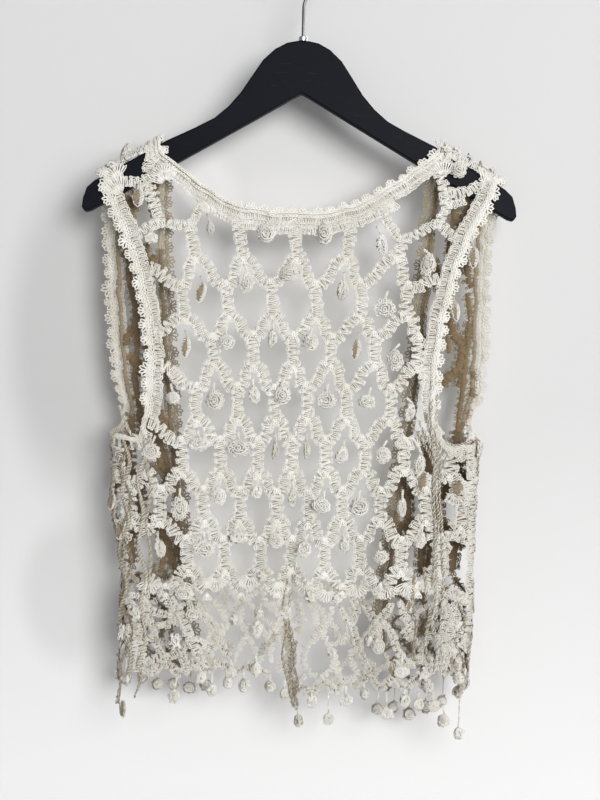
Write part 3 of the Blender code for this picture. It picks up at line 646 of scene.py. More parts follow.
def build_bars(stitches, fans):
    """The honeycomb from its table. Returns the bars' bottoms."""
    ends = []
    last = None
    for number, (y_top, y_bottom, bars, joined_left, joined_right) in enumerate(BARS):
        tops = [seen(x or foot, y_top + rng.normal(0, 1.0)) for x, foot in bars]
        bottoms = [seen(x, y_bottom + rng.normal(0, 1.0)) for _, x in bars]
        for top, bottom, (x, _) in zip(tops, bottoms, bars):
            if y_bottom - y_top > 10 and x is not None:
                bow = (top + bottom) / 2 + rng.normal(0, 0.9, 2)
                stitches.strip([top, bow, bottom], 6.7)
        uppers = []
        if last is not None:
            uppers = list(last)
        for top in tops:
            left = [p for p in uppers if p[0] < top[0]]
            right = [p for p in uppers if p[0] >= top[0]]
            if left:
                arm(stitches, left[-1], top)
            elif joined_left:
                arm(stitches, seen(*joined_left), top)
            if right:
                arm(stitches, right[0], top)
            elif joined_right:
                arm(stitches, seen(*joined_right), top)
            for turn in (-0.5, 0.0, 0.5) if number else ():
                way = np.array([math.cos(turn), math.sin(turn)])
                fans.stitch((top + [3.2 * math.sin(turn), 3.5])[None], way[None], 3.6, 0.5)
        for bottom in bottoms:
            for turn in (-0.55, 0.0, 0.55):
                way = np.array([math.cos(turn), math.sin(turn)])
                fans.stitch((bottom + [3.4 * math.sin(turn), -3.0])[None], way[None], 4.0, 0.5)
        # a bar at the row's end whose outer neighbour below is an edging
        if number + 1 < len(BARS):
            below = BARS[number + 1]
            if bottoms[0][0] < seen(below[2][0][0], below[0])[0] and below[3]:
                arm(stitches, bottoms[0], seen(*below[3]) + [0, -2])
            if bottoms[-1][0] > seen(below[2][-1][0], below[0])[0] and below[4]:
                arm(stitches, bottoms[-1], seen(*below[4]) + [0, -2])
        last = bottoms
        ends.append(bottoms)
    return ends


def arm(stitches, start, end, half=6.3, shade=0.0, pitch=3.6):
    """A slanting strip between the foot of one bar and the head of another."""
    way = end - start
    hand = np.sign(way[0]) if abs(way[0]) > 1 else 0.0
    a = start + np.array([2.2 * hand, 1.0])
    d = end + np.array([-2.2 * hand, -1.0])
    b = a + 0.33 * (d - a) + np.array([1.2 * hand, 1.3])
    c = a + 0.67 * (d - a) + np.array([-1.2 * hand, -1.3])
    stitches.strip([a, b, c, d], half, pitch=pitch, shade=shade)


# ------------------------------------------------------------ materials
def cotton(name, light, mid, deep):
    """Ply-twisted cotton yarn. The shade attribute is painted shade: the ramp
    goes from the yarn's own colour (light) through olive-grey (mid) to
    brown (deep), darker where the yarn lies in shade, on its inner side
    and deep inside the crochet."""
    material = bpy.data.materials.new(name)
    material.use_nodes = True
    tree = material.node_tree
    nodes, links = tree.nodes, tree.links
    shader = nodes["Principled BSDF"]
    shader.inputs["Roughness"].default_value = 0.92
    shader.inputs["Sheen Weight"].default_value = 0.25
    shader.inputs["Sheen Roughness"].default_value = 0.5
    shader.inputs["Specular IOR Level"].default_value = 0.2
    place = nodes.new("ShaderNodeTexCoord")
    attribute = nodes.new("ShaderNodeAttribute")
    attribute.attribute_name = "shade"
    ramp = nodes.new("ShaderNodeValToRGB")
    ramp.color_ramp.elements[0].color = (*light, 1)
    ramp.color_ramp.elements[1].color = (*deep, 1)
    ramp.color_ramp.elements[1].position = 1.0
    middle = ramp.color_ramp.elements.new(0.5)
    middle.color = (*mid, 1)
    links.new(attribute.outputs["Fac"], ramp.inputs["Fac"])
    mottle = nodes.new("ShaderNodeTexNoise")
    mottle.inputs["Scale"].default_value = 38.0
    mottle.inputs["Detail"].default_value = 3.0
    links.new(place.outputs["Object"], mottle.inputs["Vector"])
    tint = nodes.new("ShaderNodeValToRGB")
    tint.color_ramp.elements[0].position = 0.32
    tint.color_ramp.elements[0].color = (0.90, 0.885, 0.85, 1)
    tint.color_ramp.elements[1].position = 0.68
    tint.color_ramp.elements[1].color = (1, 1, 1, 1)
    links.new(mottle.outputs["Fac"], tint.inputs["Fac"])
    mix = nodes.new("ShaderNodeMix")
    mix.data_type, mix.blend_type = "RGBA", "MULTIPLY"
    mix.inputs["Factor"].default_value = 1.0
    links.new(ramp.outputs["Color"], mix.inputs["A"])
    links.new(tint.outputs["Color"], mix.inputs["B"])
    ply = nodes.new("ShaderNodeTexWave")
    ply.wave_type, ply.bands_direction = "BANDS", "DIAGONAL"
    ply.inputs["Scale"].default_value = 420.0
    ply.inputs["Distortion"].default_value = 3.0
    ply.inputs["Detail"].default_value = 2.0
    ply.inputs["Detail Scale"].default_value = 2.0
    links.new(place.outputs["Object"], ply.inputs["Vector"])
    # painted shade in the grooves between the plies: the colour darkens where the wave dips
    ply_groove_shade = nodes.new("ShaderNodeMix")
    ply_groove_shade.data_type, ply_groove_shade.blend_type = "RGBA", "MULTIPLY"
    links.new(mix.outputs["Result"], ply_groove_shade.inputs["A"])
    dark = nodes.new("ShaderNodeValToRGB")
    dark.color_ramp.elements[0].position = 0.05
    dark.color_ramp.elements[0].color = (0.72, 0.70, 0.64, 1)
    dark.color_ramp.elements[1].position = 0.5
    dark.color_ramp.elements[1].color = (1, 1, 1, 1)
    links.new(ply.outputs["Fac"], dark.inputs["Fac"])
    links.new(dark.outputs["Color"], ply_groove_shade.inputs["B"])
    ply_groove_shade.inputs["Factor"].default_value = 0.8
    links.new(ply_groove_shade.outputs["Result"], shader.inputs["Base Color"])
    fuzz = nodes.new("ShaderNodeTexNoise")
    fuzz.inputs["Scale"].default_value = 1500.0
    fuzz.inputs["Detail"].default_value = 2.0
    links.new(place.outputs["Object"], fuzz.inputs["Vector"])
    blend = nodes.new("ShaderNodeMath")
    blend.operation = "MULTIPLY_ADD"
    blend.inputs[1].default_value = 0.35
    links.new(fuzz.outputs["Fac"], blend.inputs[0])
    links.new(ply.outputs["Fac"], blend.inputs[2])
    bump = nodes.new("ShaderNodeBump")
    bump.inputs["Strength"].default_value = 0.45
    bump.inputs["Distance"].default_value = 0.0004
    links.new(blend.outputs["Value"], bump.inputs["Height"])
    links.new(bump.outputs["Normal"], shader.inputs["Normal"])
    return material


# the first colour is the yarn's own ivory; the olive-grey and brown are painted shade
COTTON = cotton("cotton_yarn", (0.905, 0.903, 0.876), (0.36, 0.315, 0.235), (0.185, 0.125, 0.062))


# ------------------------------------------------------------ edgings
class Band:
    """An edging's surface: t runs along it in mm, v in mm from its joined edge."""

    def __init__(self, join, middle, edge, normals, closed):
        points = np.concatenate([join, middle, edge, normals], 1)
        self.closed = closed
        if closed:
            points = np.concatenate([points, points[:1]])
        run = np.concatenate([[0], np.cumsum(np.linalg.norm(np.diff(points[:, 3:6], axis=0), axis=1))])
        self.length = run[-1]
        fine = np.linspace(0, self.length, int(self.length) + 2)
        rows = np.stack([np.interp(fine, run, points[:, k]) for k in range(12)], 1)
        kernel = np.hanning(15) / np.hanning(15).sum()
        if closed:
            wide = np.concatenate([rows[-8:-1], rows, rows[1:8]])
        else:
            first = rows[0] * 2 - rows[1:8][::-1]
            last = rows[-1] * 2 - rows[-8:-1][::-1]
            wide = np.concatenate([first, rows, last])
        self.rows = np.stack([np.convolve(wide[:, k], kernel, "valid") for k in range(12)], 1)
        self.fine = fine
        self.width = np.linalg.norm(self.rows[:, 6:9] - self.rows[:, :3], axis=1)

    def chart(self, points):
        t, v = points[..., 0], points[..., 1]
        turn = 2 * math.pi / self.length
        k = [round(w / turn) * turn for w in (0.14, 0.23, 0.11, 0.31)]
        lift = 0.55 * np.sin(k[3] * t + v / 3.0) + 0.5 * np.sin(k[0] * t + 1.0)
        v = v + 0.55 * np.sin(k[0] * t + 1.3) + 0.35 * np.sin(k[1] * t + 0.4)
        t = t + 0.7 * np.sin(k[2] * t + v / 5.0)
        t = t % self.length if self.closed else np.clip(t, -2, self.length + 2)
        part = [np.interp(t, self.fine, self.rows[:, k]) for k in range(12)]
        row = np.stack(part, -1)
        join, middle, edge, normal = (row[..., k:k + 3] for k in (0, 3, 6, 9))
        w = (v / np.interp(t, self.fine, self.width))[..., None]
        place = join * (1 - w) * (1 - 2 * w) + middle * 4 * w * (1 - w) + edge * w * (2 * w - 1)
        normal = normal / np.linalg.norm(normal, axis=-1, keepdims=True)
        return place + normal * lift[..., None], normal


def ridge_rows(first, second, start, turns=3):
    """Rows of ((x, s), (x, s)) over the shoulder's turn."""
    rows = []
    for k in range(turns + 1):
        s = start + (math.pi / 2 * SHOULDER_TURN - start) * k / turns
        row = []
        for (x, _), (next_x, next_z) in zip(first, second):
            t = s / along(next_x, next_z)
            at_x = x * (1 - t) + next_x * t
            row.append((at_x, float(ridge(at_x) - drop(s))))
        rows.append(row)
    return rows


def band_from(rows, hand_of, closed):
    """rows of (side, edge (x, z), join (x, z))."""
    parts = []
    for side, edge, join in rows:
        hand = hand_of(edge[0])
        sign = side if side != 0 else 1.0
        q = [float(round_of(hand, side, x, z)) for x, z in (join, edge)]
        z = [join[1], edge[1]]
        line = []
        for t in (0.0, 0.5, 1.0):
            p, n = skin(hand, q[0] * (1 - t) + q[1] * t, z[0] * (1 - t) + z[1] * t, sign)
            line.append((p, n))
        parts.append([line[0][0], line[1][0], line[2][0], line[1][1]])
    return Band(*(np.array([p[k] for p in parts]) for k in range(4)), closed)


def ring_rows(table):
    pairs = [(row[0], (row[1], row[2]), (row[3], row[4])) for row in table]
    top = pairs[0]
    near = ridge_rows(top[1:], pairs[1][1:], 0.0)
    far = ridge_rows(top[1:], pairs[-1][1:], 0.0)
    rows = [(NEAR, *row) for row in near] + pairs[1:]
    return rows + [(FAR, *row) for row in reversed(far[1:])]


def neck_rows():
    pairs = [((row[0], row[1]), (row[2], row[3])) for row in NECK_BAND]
    first = ridge_rows(pairs[0], pairs[1], 0.3)
    last = ridge_rows(pairs[-1], pairs[-2], 0.3)
    return [(NEAR, *row) for row in first + pairs[1:-1] + last[::-1]]


def front_rows(hand):
    edge = edge_left if hand == LEFT else edge_right
    hem = hem_left if hand == LEFT else hem_right
    rows = []
    top_x = hand * float(edge(-181.0))
    for s in (0.3, 4.0, 8.0, 12.5):
        a, b = top_x, top_x + hand * FRONT_BAND
        rows.append((FAR, (a, float(ridge(a) - drop(s))), (b, float(ridge(b) - drop(s)))))
    for z in np.linspace(-206.0, float(hem(0.0)) + 1, 26):
        a = hand * float(edge(z))
        rows.append((FAR, (a, z), (a + hand * FRONT_BAND, z - (8.0 if z > -225 else 0.0))))
    return rows


def scallops(band, stitches, base, reach, pitch, start=0.0, petals=5, spread=1.25, shade=0.0, size=1.0):
    """Shells along the free edge: each is a fan of loops from one place."""
    count = max(1, int(round(band.length / pitch)))
    step = band.length / count
    for j in range(count):
        t0 = start + (j + 0.5) * step + rng.normal(0, 0.6)
        long = reach * (1 + rng.normal(0, 0.09)) * size
        for k in range(petals):
            turn = spread * (2 * k / (petals - 1) - 1) + rng.normal(0, 0.06)
            reach_out = np.array([math.sin(turn), math.cos(turn)])
            half = long / 2 * (0.92 if k in (0, petals - 1) else 1.0)
            at = np.array([t0, base]) + reach_out * (half + 0.8)
            way = np.array([reach_out[1], -reach_out[0]])
            stitches.stitch(at[None], way[None], half, 0.6 + rng.normal(0, 0.25), shade)


def chain_line(band, yarn, v, pitch=3.7, raised=1.3, shade=0.0, sides=4, radius=0.8, from_t=0.0, to_t=None,
               low_tone=0.0, far_crevice=0.55):
    """A line of chain stitches: small loops along the edging."""
    to_t = band.length if to_t is None else to_t
    count = max(1, int((to_t - from_t) / pitch))
    t = from_t + (np.arange(count) + 0.5) * (to_t - from_t) / count
    a = np.array([-2.6, -1.0, 1.0, 2.6, 1.0, -1.0])
    b = np.array([0.0, 0.95, 0.85, 0.0, -0.85, -0.95])
    points = np.stack([
        t[:, None] + a[None] + rng.normal(0, 0.1, (count, 6)),
        v + b[None] + rng.normal(0, 0.1, (count, 6)) + rng.normal(0, 0.15, (count, 1)),
    ], -1)
    place, normal = band.chart(points)
    lift = raised + np.array([-0.5, 0.1, 0.3, 0.35, 0.3, 0.1])[None] + rng.normal(0, 0.08, (count, 6))
    # painted shade: low_tone at the armhole's bottom, and a different crevice shade on the far side
    tone = np.where(place[..., 2] < -470.0, low_tone, shade)
    deep = np.where(place[..., 1] > 2.0, far_crevice, 0.55)[..., None]
    yarn.tubes(place + normal * lift[..., None], normal, radius, True, sides, tone, deep)


def ribs(band, stitches, low, high, pitch=3.2, shade=0.0, raised=0.0, skip=0.0):
    """Posts across the edging, from v = low to v = high."""
    count = int(round(band.length / pitch))
    t = (np.arange(count) + 0.5) * band.length / count + rng.normal(0, 0.22, count)
    keep = rng.random(count) >= skip
    middle = (low + high) / 2 + rng.normal(0, 0.3, count)
    lean = rng.normal(0.08, 0.1, count)
    way = np.stack([np.cos(lean), np.sin(lean)], 1)
    half = (high - low) / 2 * (1 + rng.normal(0, 0.06, count))
    raised = raised + rng.normal(0, 0.25, count)
    stitches.stitch(
        np.stack([t, middle], 1)[keep], way[keep], half[keep], raised[keep], shade
    )


# ------------------------------------------------------------ pendants
def disc_template(ribs_count=11):
    """Loops of one crocheted disc of radius 1, in its own plane (x, z): ribs
    round its rim, a ring that ties them, and a swirl over its middle."""
    loops = []
    for k in range(ribs_count):
        turn = 2 * math.pi * (k + 0.25) / ribs_count
        out = np.array([math.sin(turn), math.cos(turn)])
        side = np.array([out[1], -out[0]])
        a = np.array([0.46, 0.66, 0.84, 0.96, 1.0, 0.96, 0.84, 0.66])
        b = np.array([0.0, 0.10, 0.16, 0.13, 0.0, -0.13, -0.16, -0.10])
        lift = np.array([0.26, 0.24, 0.17, 0.06, 0.0, 0.06, 0.17, 0.24])
        flat = out[None] * a[:, None] + side[None] * b[:, None]
        loops.append(np.stack([flat[:, 0], lift, flat[:, 1]], 1))
    for inner, outer, high, start in ((0.40, 0.66, 0.34, 0.0), (0.34, 0.60, 0.38, 2.1), (0.38, 0.64, 0.34, 4.2)):
        turn = start + np.linspace(0, 2.2, 4)
        out = np.stack([np.sin(turn) * outer, high + 0 * turn, np.cos(turn) * outer], 1)
        back = np.stack([np.sin(turn[::-1]) * inner, high + 0.06 + 0 * turn, np.cos(turn[::-1]) * inner], 1)
        loops.append(np.concatenate([out, back]))
    turn = np.linspace(0, 2 * math.pi, 8, endpoint=False)
    loops.append(np.stack([0.17 * np.sin(turn), 0.48 + 0 * turn, 0.17 * np.cos(turn)], 1))
    loops.append(np.stack([0.86 * np.sin(turn), 0.20 + 0 * turn, 0.86 * np.cos(turn)], 1))
    return np.array(loops)


def leaf_template():
    """The ribs of a leaf of half width 1 and half height 1, from its midrib to
    its edge, then its outline. Gives the loops, and which are on its side
    that is painted with shade."""
    loops, dark = [], []
    for hand in (-1, 1):
        for z in (-0.72, -0.42, -0.12, 0.18, 0.48, 0.76):
            wide = hand * (1 - 0.8 * z * z)
            a = np.array([0.0, 0.3, 0.6, 0.9, 1.0, 0.9, 0.6, 0.3])
            b = np.array([0.0, 0.07, 0.10, 0.08, 0.0, -0.08, -0.10, -0.07])
            lift = np.array([-0.10, 0.0, 0.12, 0.10, 0.05, 0.10, 0.12, 0.0])
            loops.append(np.stack([wide * a, lift, z + 0.14 * a + b], 1))
            dark.append(hand < 0)
    turn = np.linspace(0, 2 * math.pi, 8, endpoint=False)
    x = np.sin(turn) * (1 - 0.3 * np.cos(turn) ** 2)
    loops.append(np.stack([x, 0.05 + 0 * turn, np.cos(turn) * 1.08], 1))
    return np.array(loops), np.array(dark + [False])


DISC = disc_template()
LEAF, LEAF_SHADED_SIDE = leaf_template()


def turned(about_z, tilt, lean):
    a, b, c = (Matrix.Rotation(about_z, 3, "Z"), Matrix.Rotation(tilt, 3, "X"), Matrix.Rotation(lean, 3, "Y"))
    return np.array(a @ c @ b)


KNOT = np.concatenate([DISC[0:11:2], DISC[11:15]])
ROUND = np.concatenate([DISC, DISC[11:15] * np.array([1.15, -1.0, 1.15])])


def pendants(yarn, items, chart, sides=3, long_stems=False):
    """items: (centre (x, z), half_width, half_height, turn, hook (x, z) or None,
    shade, out), out being how far the middle stands off the cloth and shade
    the painted shade."""
    for centre, wide, tall, turn, hook, shade, out in items:
        place, normal = chart(np.array(centre, float)[None])
        place, normal = place[0] + normal[0] * out, normal[0]
        facing = math.atan2(normal[0], -normal[1])
        leaf = shade >= 0.3
        spin = turned(facing + turn * (0.35 if leaf else 1.0), rng.normal(0, 0.12), rng.normal(0, 0.15))
        curl = rng.uniform(0.10, 0.42) * rng.choice([-1, 1])
        bowl = rng.uniform(-0.1, 0.25)
        knot = not leaf and hook is None
        loops = (LEAF if leaf else KNOT if knot else ROUND).copy()
        swirl = 0.0 if leaf else rng.uniform(-0.5, 0.9)
        r = np.hypot(loops[..., 0], loops[..., 2])
        ang = np.arctan2(loops[..., 0], loops[..., 2]) + swirl * r + rng.uniform(0, 0.5)
        x, z = r * np.sin(ang), r * np.cos(ang)
        x = x * (1 + rng.normal(0, 0.05)) * np.where(z > 0, 1 - 0.25 * np.maximum(z, 0) ** 2, 1.0)
        if leaf:
            x, z, bowl, curl = loops[..., 0], loops[..., 2], 0.05, 0.0
        thick = loops[..., 1] * wide
        y = thick - curl * wide * x**2 - bowl * tall * z * z
        local = np.stack([x * wide, -y, z * tall], -1)
        local += rng.normal(0, 0.2, local.shape)
        if not leaf:
            local += rng.normal(0, 0.38, (len(local), 1, 3))
        paths = local @ spin.T + place
        front = np.broadcast_to(-(spin @ np.array([0, 1, 0])), paths.shape)
        if leaf:
            # painted shade on one side of the leaf
            tone = np.where(LEAF_SHADED_SIDE, 0.62, 0.05)[:, None] + np.zeros(8)
            yarn.tubes(paths, front, 0.72, True, sides, tone, crevice=0.5)
        else:
            front = front.copy()
            front[np.arange(len(front)) >= len(DISC)] *= -1
            yarn.tubes(paths, front, 0.8, True, sides, shade * 0.4, crevice=0.5)
        # the disc's inside: a core painted with shade, filling the gaps between its loops
        n = 12
        ring = 2 * math.pi * np.arange(n) / n
        rx, rz = 0.9 * np.sin(ring), 0.9 * np.cos(ring)
        if leaf:
            rx = rx * (1 - 0.35 * np.cos(ring) ** 2)
        ry = -curl * wide * rx**2 - bowl * tall * rz**2
        rim = np.stack([rx * wide, -ry, rz * tall], 1)
        deep = min(0.9, 0.12 * wide)
        core = np.concatenate([rim, [[0, -deep, 0]], [[0, deep, 0]]]) @ spin.T + place
        k = np.arange(n)
        front_faces = np.stack([k, np.full(n, n), (k + 1) % n], 1)
        back_faces = np.stack([(k + 1) % n, np.full(n, n + 1), k], 1)
        yarn.add(core, np.concatenate([front_faces, back_faces]), 0.7 if leaf else 0.3)
        if hook is not None:
            top = np.array([0, 0, 0.9 * tall]) @ spin.T + place
            hang, hang_normal = chart(np.array(hook, float)[None])
            hang = hang[0] + hang_normal[0] * 0.8
            far = np.linalg.norm(hang - top)
            if far > 9.0 and not long_stems:
                hang = top + (hang - top) * 9.0 / far
            stem(yarn, hang, top, shade * 0.5)


def stem(yarn, start, end, shade, radius=0.8, strands=2):
    """Two strands twisted round each other."""
    long = np.linalg.norm(end - start)
    n = int(max(5, long / 1.6))
    t = np.linspace(0, 1, n)[:, None]
    middle = start * (1 - t) + end * t + np.array([0, -0.6, 0]) * np.sin(math.pi * t)
    way = (end - start) / max(long, 1e-6)
    a = np.cross(way, [0, 1, 0])
    a /= max(np.linalg.norm(a), 1e-6)
    b = np.cross(way, a)
    turn = t * long / 4.2 * 2 * math.pi
    paths = []
    for k in range(strands):
        phase = turn + k * 2 * math.pi / strands
        paths.append(middle + 0.75 * (np.cos(phase) * a + np.sin(phase) * b))
    paths = np.array(paths)
    up = paths - middle[None]
    up[..., 1] -= 0.6
    yarn.tubes(paths, up, radius, False, 4, shade, crevice=0.35)


# ============================================================== the pieces
def split(stitches, test):
    """Two lots of stitches, by a test of their places."""
    rows = np.concatenate(stitches.rows)
    yes = test(rows[:, 0], rows[:, 1])
    parts = []
    for keep in (yes, ~yes):
        part = Stitches(stitches.chart)
        part.rows = [rows[keep]]
        parts.append(part)
    return parts


def keep_only(stitches, test):
    stitches.rows = [split(stitches, test)[0].rows[0]]


# ---------------------------------------------------------- back honeycomb
back = Stitches(near_chart)
back_fans = Stitches(near_chart)
build_bars(back, back_fans)
for half, places in NEAR_STRIPS:
    back.strip([seen(*p) for p in places], half, taper=0.15)


def fan(stitches, px, py, inner, outer, low, high, count, raised=0.8, shade=0.0):
    """Loops that spread from a place in the photo, between two bearings."""
    centre = seen(px, py)
    for turn in np.radians(np.linspace(low, high, count)):
        out = np.array([math.sin(turn), math.cos(turn)])
        at = centre + out * (inner + outer) / 2
        stitches.stitch(at[None], np.array([[out[1], -out[0]]]), (outer - inner) / 2,
                        raised + rng.normal(0, 0.2), shade)


fan(back_fans, 166, 184, 4, 22, -75, 35, 12)
fan(back_fans, 163, 176, 3, 14, -80, 60, 10, 1.8)
fan(back_fans, 123, 196, 5, 26, -70, -5, 9)
fan(back_fans, 118, 178, 3, 16, -80, 30, 9, 1.5)
fan(back_fans, 444, 178, 4, 20, -40, 35, 8)
fan(back_fans, 486, 186, 4, 22, -20, 70, 9)
fan(back_fans, 492, 172, 3, 14, -50, 60, 8, 1.5)
fan(back_fans, 472, 452, 3, 15, -60, 70, 9, 1.4)
fan(back_fans, 208, 200, 2, 13, 150, 235, 7, 0.6)
fan(back_fans, 390, 200, 2, 13, 125, 215, 7, 0.6)
DENSE_Z = -628.0
for px, py in ((150, 580), (181, 580), (215, 576), (250, 574), (278, 582), (306, 582), (327, 588), (356, 584),
               (386, 584), (407, 582), (430, 580)):
    fan(back_fans, px, py, 3, 15, 115, 245, 9, 0.9, 0.05)


def in_back(x, z):
    inside = (np.abs(x) < 152.0) | (z > -470.0)
    return inside & (z > hem_near(x) - 2)


keep_only(back, in_back)
keep_only(back_fans, in_back)
upper_part, lower_part = split(back, lambda x, z: z > -530.0)
upper_fans, lower_fans = split(back_fans, lambda x, z: z > -530.0)
yarn = Yarn("back_mesh_upper")
upper_part.lay(yarn, core=0.36, crevice=0.52)
upper_fans.lay(yarn, small=True, crevice=0.55)
back_upper = yarn.make(COTTON, "cotton_mesh")
yarn = Yarn("back_mesh_lower")
lower_part.lay(yarn, sides=3, core=0.43, crevice=0.6)
lower_fans.lay(yarn, small=True, crevice=0.62)
back_lower = yarn.make(COTTON, "cotton_mesh", "back_panel")
yarn = Yarn("back_hem_lace")


def net(stitches, knots, x0, x1, z_top, pitch, tall, inside, shade=0.12, share=0.9, half=3.0, shift=0.0):
    """An uneven net of short bent cords between jittered places, row under row."""
    rows = int(math.ceil((z_top + 760.0) / tall))
    places = {}
    for row in range(rows + 1):
        start = x0 + shift + (pitch / 2 if row % 2 else 0.0)
        for column_number, x in enumerate(np.arange(start, x1 + 0.1, pitch)):
            places[row, round((x - x0 - shift) * 2 / pitch)] = (
                np.array([x, z_top - row * tall]) + rng.normal(0, 1, 2) * [3.6, 3.0])
    for (row, k), a in places.items():
        for step in (-1, 1):
            b = places.get((row + 1, k + step))
            if b is None or rng.random() > share:
                continue
            way = b - a
            first = a + way * [rng.uniform(-0.05, 0.3), 0.34]
            second = b - way * [rng.uniform(-0.05, 0.3), 0.34]
            if not (inside(*a) and inside(*second)):
                continue
            tone = float(np.clip(shade + rng.normal(0, 0.1), 0, 0.6))
            stitches.strip([a, first, second, b], half * rng.uniform(0.8, 1.25), pitch=3.3,
                           raised=rng.uniform(-0.8, 1.6), shade=tone)
        if inside(*a) and rng.random() < 0.2:
            knots.append(((a[0], a[1] - 2), rng.uniform(4.0, 5.6), rng.uniform(4.5, 6.5),
                          rng.normal(0, 0.5), None, shade * 0.6, rng.uniform(1.0, 3.0)))


lower_net = Stitches(near_chart)
back_knots = []


def in_hem(x, z):
    return abs(x) < 151 and z > hem_near(x) + 2


# Strips of the lower part, in the photo's pixels: half width in mm, painted shade, places.
# The darker ones down the middle are painted shade in the pleat.
LOW_STRIPS = (
    (4.5, 0.02, ((146, 596), (143, 615), (140, 638), (142, 662))),
    (4.0, 0.03, ((150, 612), (155, 630), (160, 646), (170, 656))),
    (4.0, 0.02, ((158, 626), (170, 622), (182, 612))),
    (5.0, 0.0, ((170, 596), (178, 610), (186, 622), (191, 636), (197, 650), (204, 661))),
    (4.0, 0.02, ((148, 606), (158, 612), (170, 616))),
    (4.5, 0.03, ((142, 664), (156, 658), (168, 656), (180, 650), (190, 644))),
    (4.5, 0.02, ((204, 661), (211, 649), (218, 638), (225, 648), (233, 661))),
    (4.0, 0.03, ((184, 650), (186, 662), (196, 666))),
    (4.2, 0.03, ((198, 604), (206, 616), (212, 628), (217, 638))),
    (4.5, 0.04, ((140, 668), (152, 674), (165, 663), (180, 671), (192, 662), (206, 669), (220, 663), (236, 670), (250, 663), (268, 672))),
    (4.2, 0.03, ((340, 606), (344, 618), (352, 626), (357, 640), (360, 654), (366, 664))),
    (4.2, 0.03, ((352, 598), (357, 612), (352, 626))),
    (4.4, 0.02, ((362, 596), (366, 608), (376, 618), (386, 612), (392, 602))),
    (3.8, 0.03, ((376, 618), (371, 630), (364, 642), (358, 652))),
    (3.6, 0.03, ((376, 618), (379, 632), (378, 644))),
    (4.2, 0.02, ((384, 622), (390, 632), (395, 646), (402, 660), (414, 664))),
    (4.2, 0.02, ((400, 602), (404, 616), (410, 628), (412, 640))),
    (4.0, 0.04, ((360, 656), (368, 666), (377, 677), (366, 676), (356, 672))),
    (4.5, 0.03, ((400, 670), (412, 662), (424, 658), (436, 664), (444, 676))),
    (4.4, 0.04, ((294, 694), (303, 686), (312, 692), (322, 681), (334, 688), (346, 680), (358, 687))),
    (4.4, 0.04, ((358, 684), (370, 676), (380, 686), (392, 679), (404, 687), (416, 680), (430, 692))),
    (5.4, 0.26, ((284, 604), (287, 626), (290, 648), (289, 668), (293, 690), (296, 704))),
    (4.6, 0.02, ((441, 600), (446, 616), (440, 634), (446, 652), (442, 668))),
    (3.6, 0.08, ((212, 600), (220, 612), (228, 622), (236, 618))),
    (3.6, 0.08, ((228, 622), (222, 632), (218, 640))),
    (3.6, 0.08, ((236, 600), (242, 608), (240, 620), (246, 632), (242, 646), (234, 660))),
    (3.6, 0.08, ((250, 600), (256, 612), (262, 622), (266, 634), (272, 646), (270, 662))),
    (3.6, 0.08, ((246, 632), (254, 646), (258, 658), (252, 668))),
    (3.8, 0.08, ((228, 588), (238, 600), (250, 596), (262, 588))),
    (3.6, 0.08, ((262, 588), (266, 602), (276, 612), (282, 626))),
    (3.6, 0.08, ((266, 634), (276, 626), (284, 618))),
    (4.0, 0.22, ((286, 578), (284, 598), (280, 618), (286, 640))),
    (3.6, 0.08, ((296, 600), (302, 614), (298, 628), (290, 634))),
    (3.8, 0.06, ((308, 600), (314, 612), (318, 624), (324, 632))),
    (3.8, 0.06, ((330, 606), (328, 618), (324, 630), (330, 644), (334, 656))),
    (3.6, 0.06, ((324, 632), (312, 640), (304, 650), (306, 664), (314, 676))),
    (3.6, 0.06, ((334, 656), (330, 668), (322, 678), (314, 682))),
    (3.6, 0.06, ((330, 644), (342, 640), (348, 630), (346, 620))),
    (3.6, 0.06, ((334, 656), (338, 670), (342, 682))),
    (3.6, 0.06, ((344, 682), (356, 676), (352, 662), (348, 650))),
)
# the ropes' shade column is painted shade
LOW_ROPES = (  # strands, height off the cloth, shade, places in the photo
    (2, 2.2, 0.20, ((287, 578), (282, 604), (285, 630), (281, 655), (287, 680), (296, 706))),
    (2, 2.6, 0.04, ((292, 590), (288, 612), (293, 636), (297, 660), (291, 684), (298, 710))),
    (2, 1.4, 0.36, ((297, 640), (294, 660), (298, 682), (294, 700))),
    (3, 1.6, 0.30, ((414, 572), (412, 600), (416, 625), (413, 650), (418, 668))),
    (3, 1.8, 0.14, ((424, 566), (427, 592), (430, 615), (425, 642), (430, 662))),
    (3, 2.2, 0.04, ((434, 572), (436, 600), (432, 622), (437, 646), (434, 672))),
)
low_strips, faint_strips = Stitches(near_chart), Stitches(near_chart)
for number, (half, tone, places) in enumerate(LOW_STRIPS):
    (low_strips if number < 23 else faint_strips).strip(
        [seen(*p) + rng.normal(0, 1.0, 2) for p in places], half, pitch=3.5,
        raised=rng.uniform(-0.4, 1.6), shade=tone + 0.05, taper=0.3)
low_strips.lay(yarn, core=0.75, crevice=0.75, sides=3)
faint_strips.lay(yarn, core=0, crevice=0.75, rails=False, sides=4)
for strands, raised, tone, places in LOW_ROPES:
    rope(yarn, near_chart, [seen(*p) for p in places], tone, raised, strands, 0.5 + 0.3 * strands)
net(lower_net, back_knots, -150.0, 150.0, DENSE_Z + 1.0, 31.0, 19.0, in_hem, 0.12, 0.62, 3.0)
lower_net.lay(yarn, rails=False, core=0, crevice=0.85, sides=3)
hem_lace = yarn.make(COTTON, "cotton_mesh")

# ------------------------------------------------------------- neck band
neck = band_from(neck_rows(), lambda x: LEFT if x < 0 else RIGHT, False)
yarn = Yarn("neck_band")
posts, shells = Stitches(neck.chart), Stitches(neck.chart)
ribs(neck, posts, -2.5, 12.5, pitch=3.5)
scallops(neck, shells, 12.6, 5.6, 13.5, petals=5, spread=1.4)


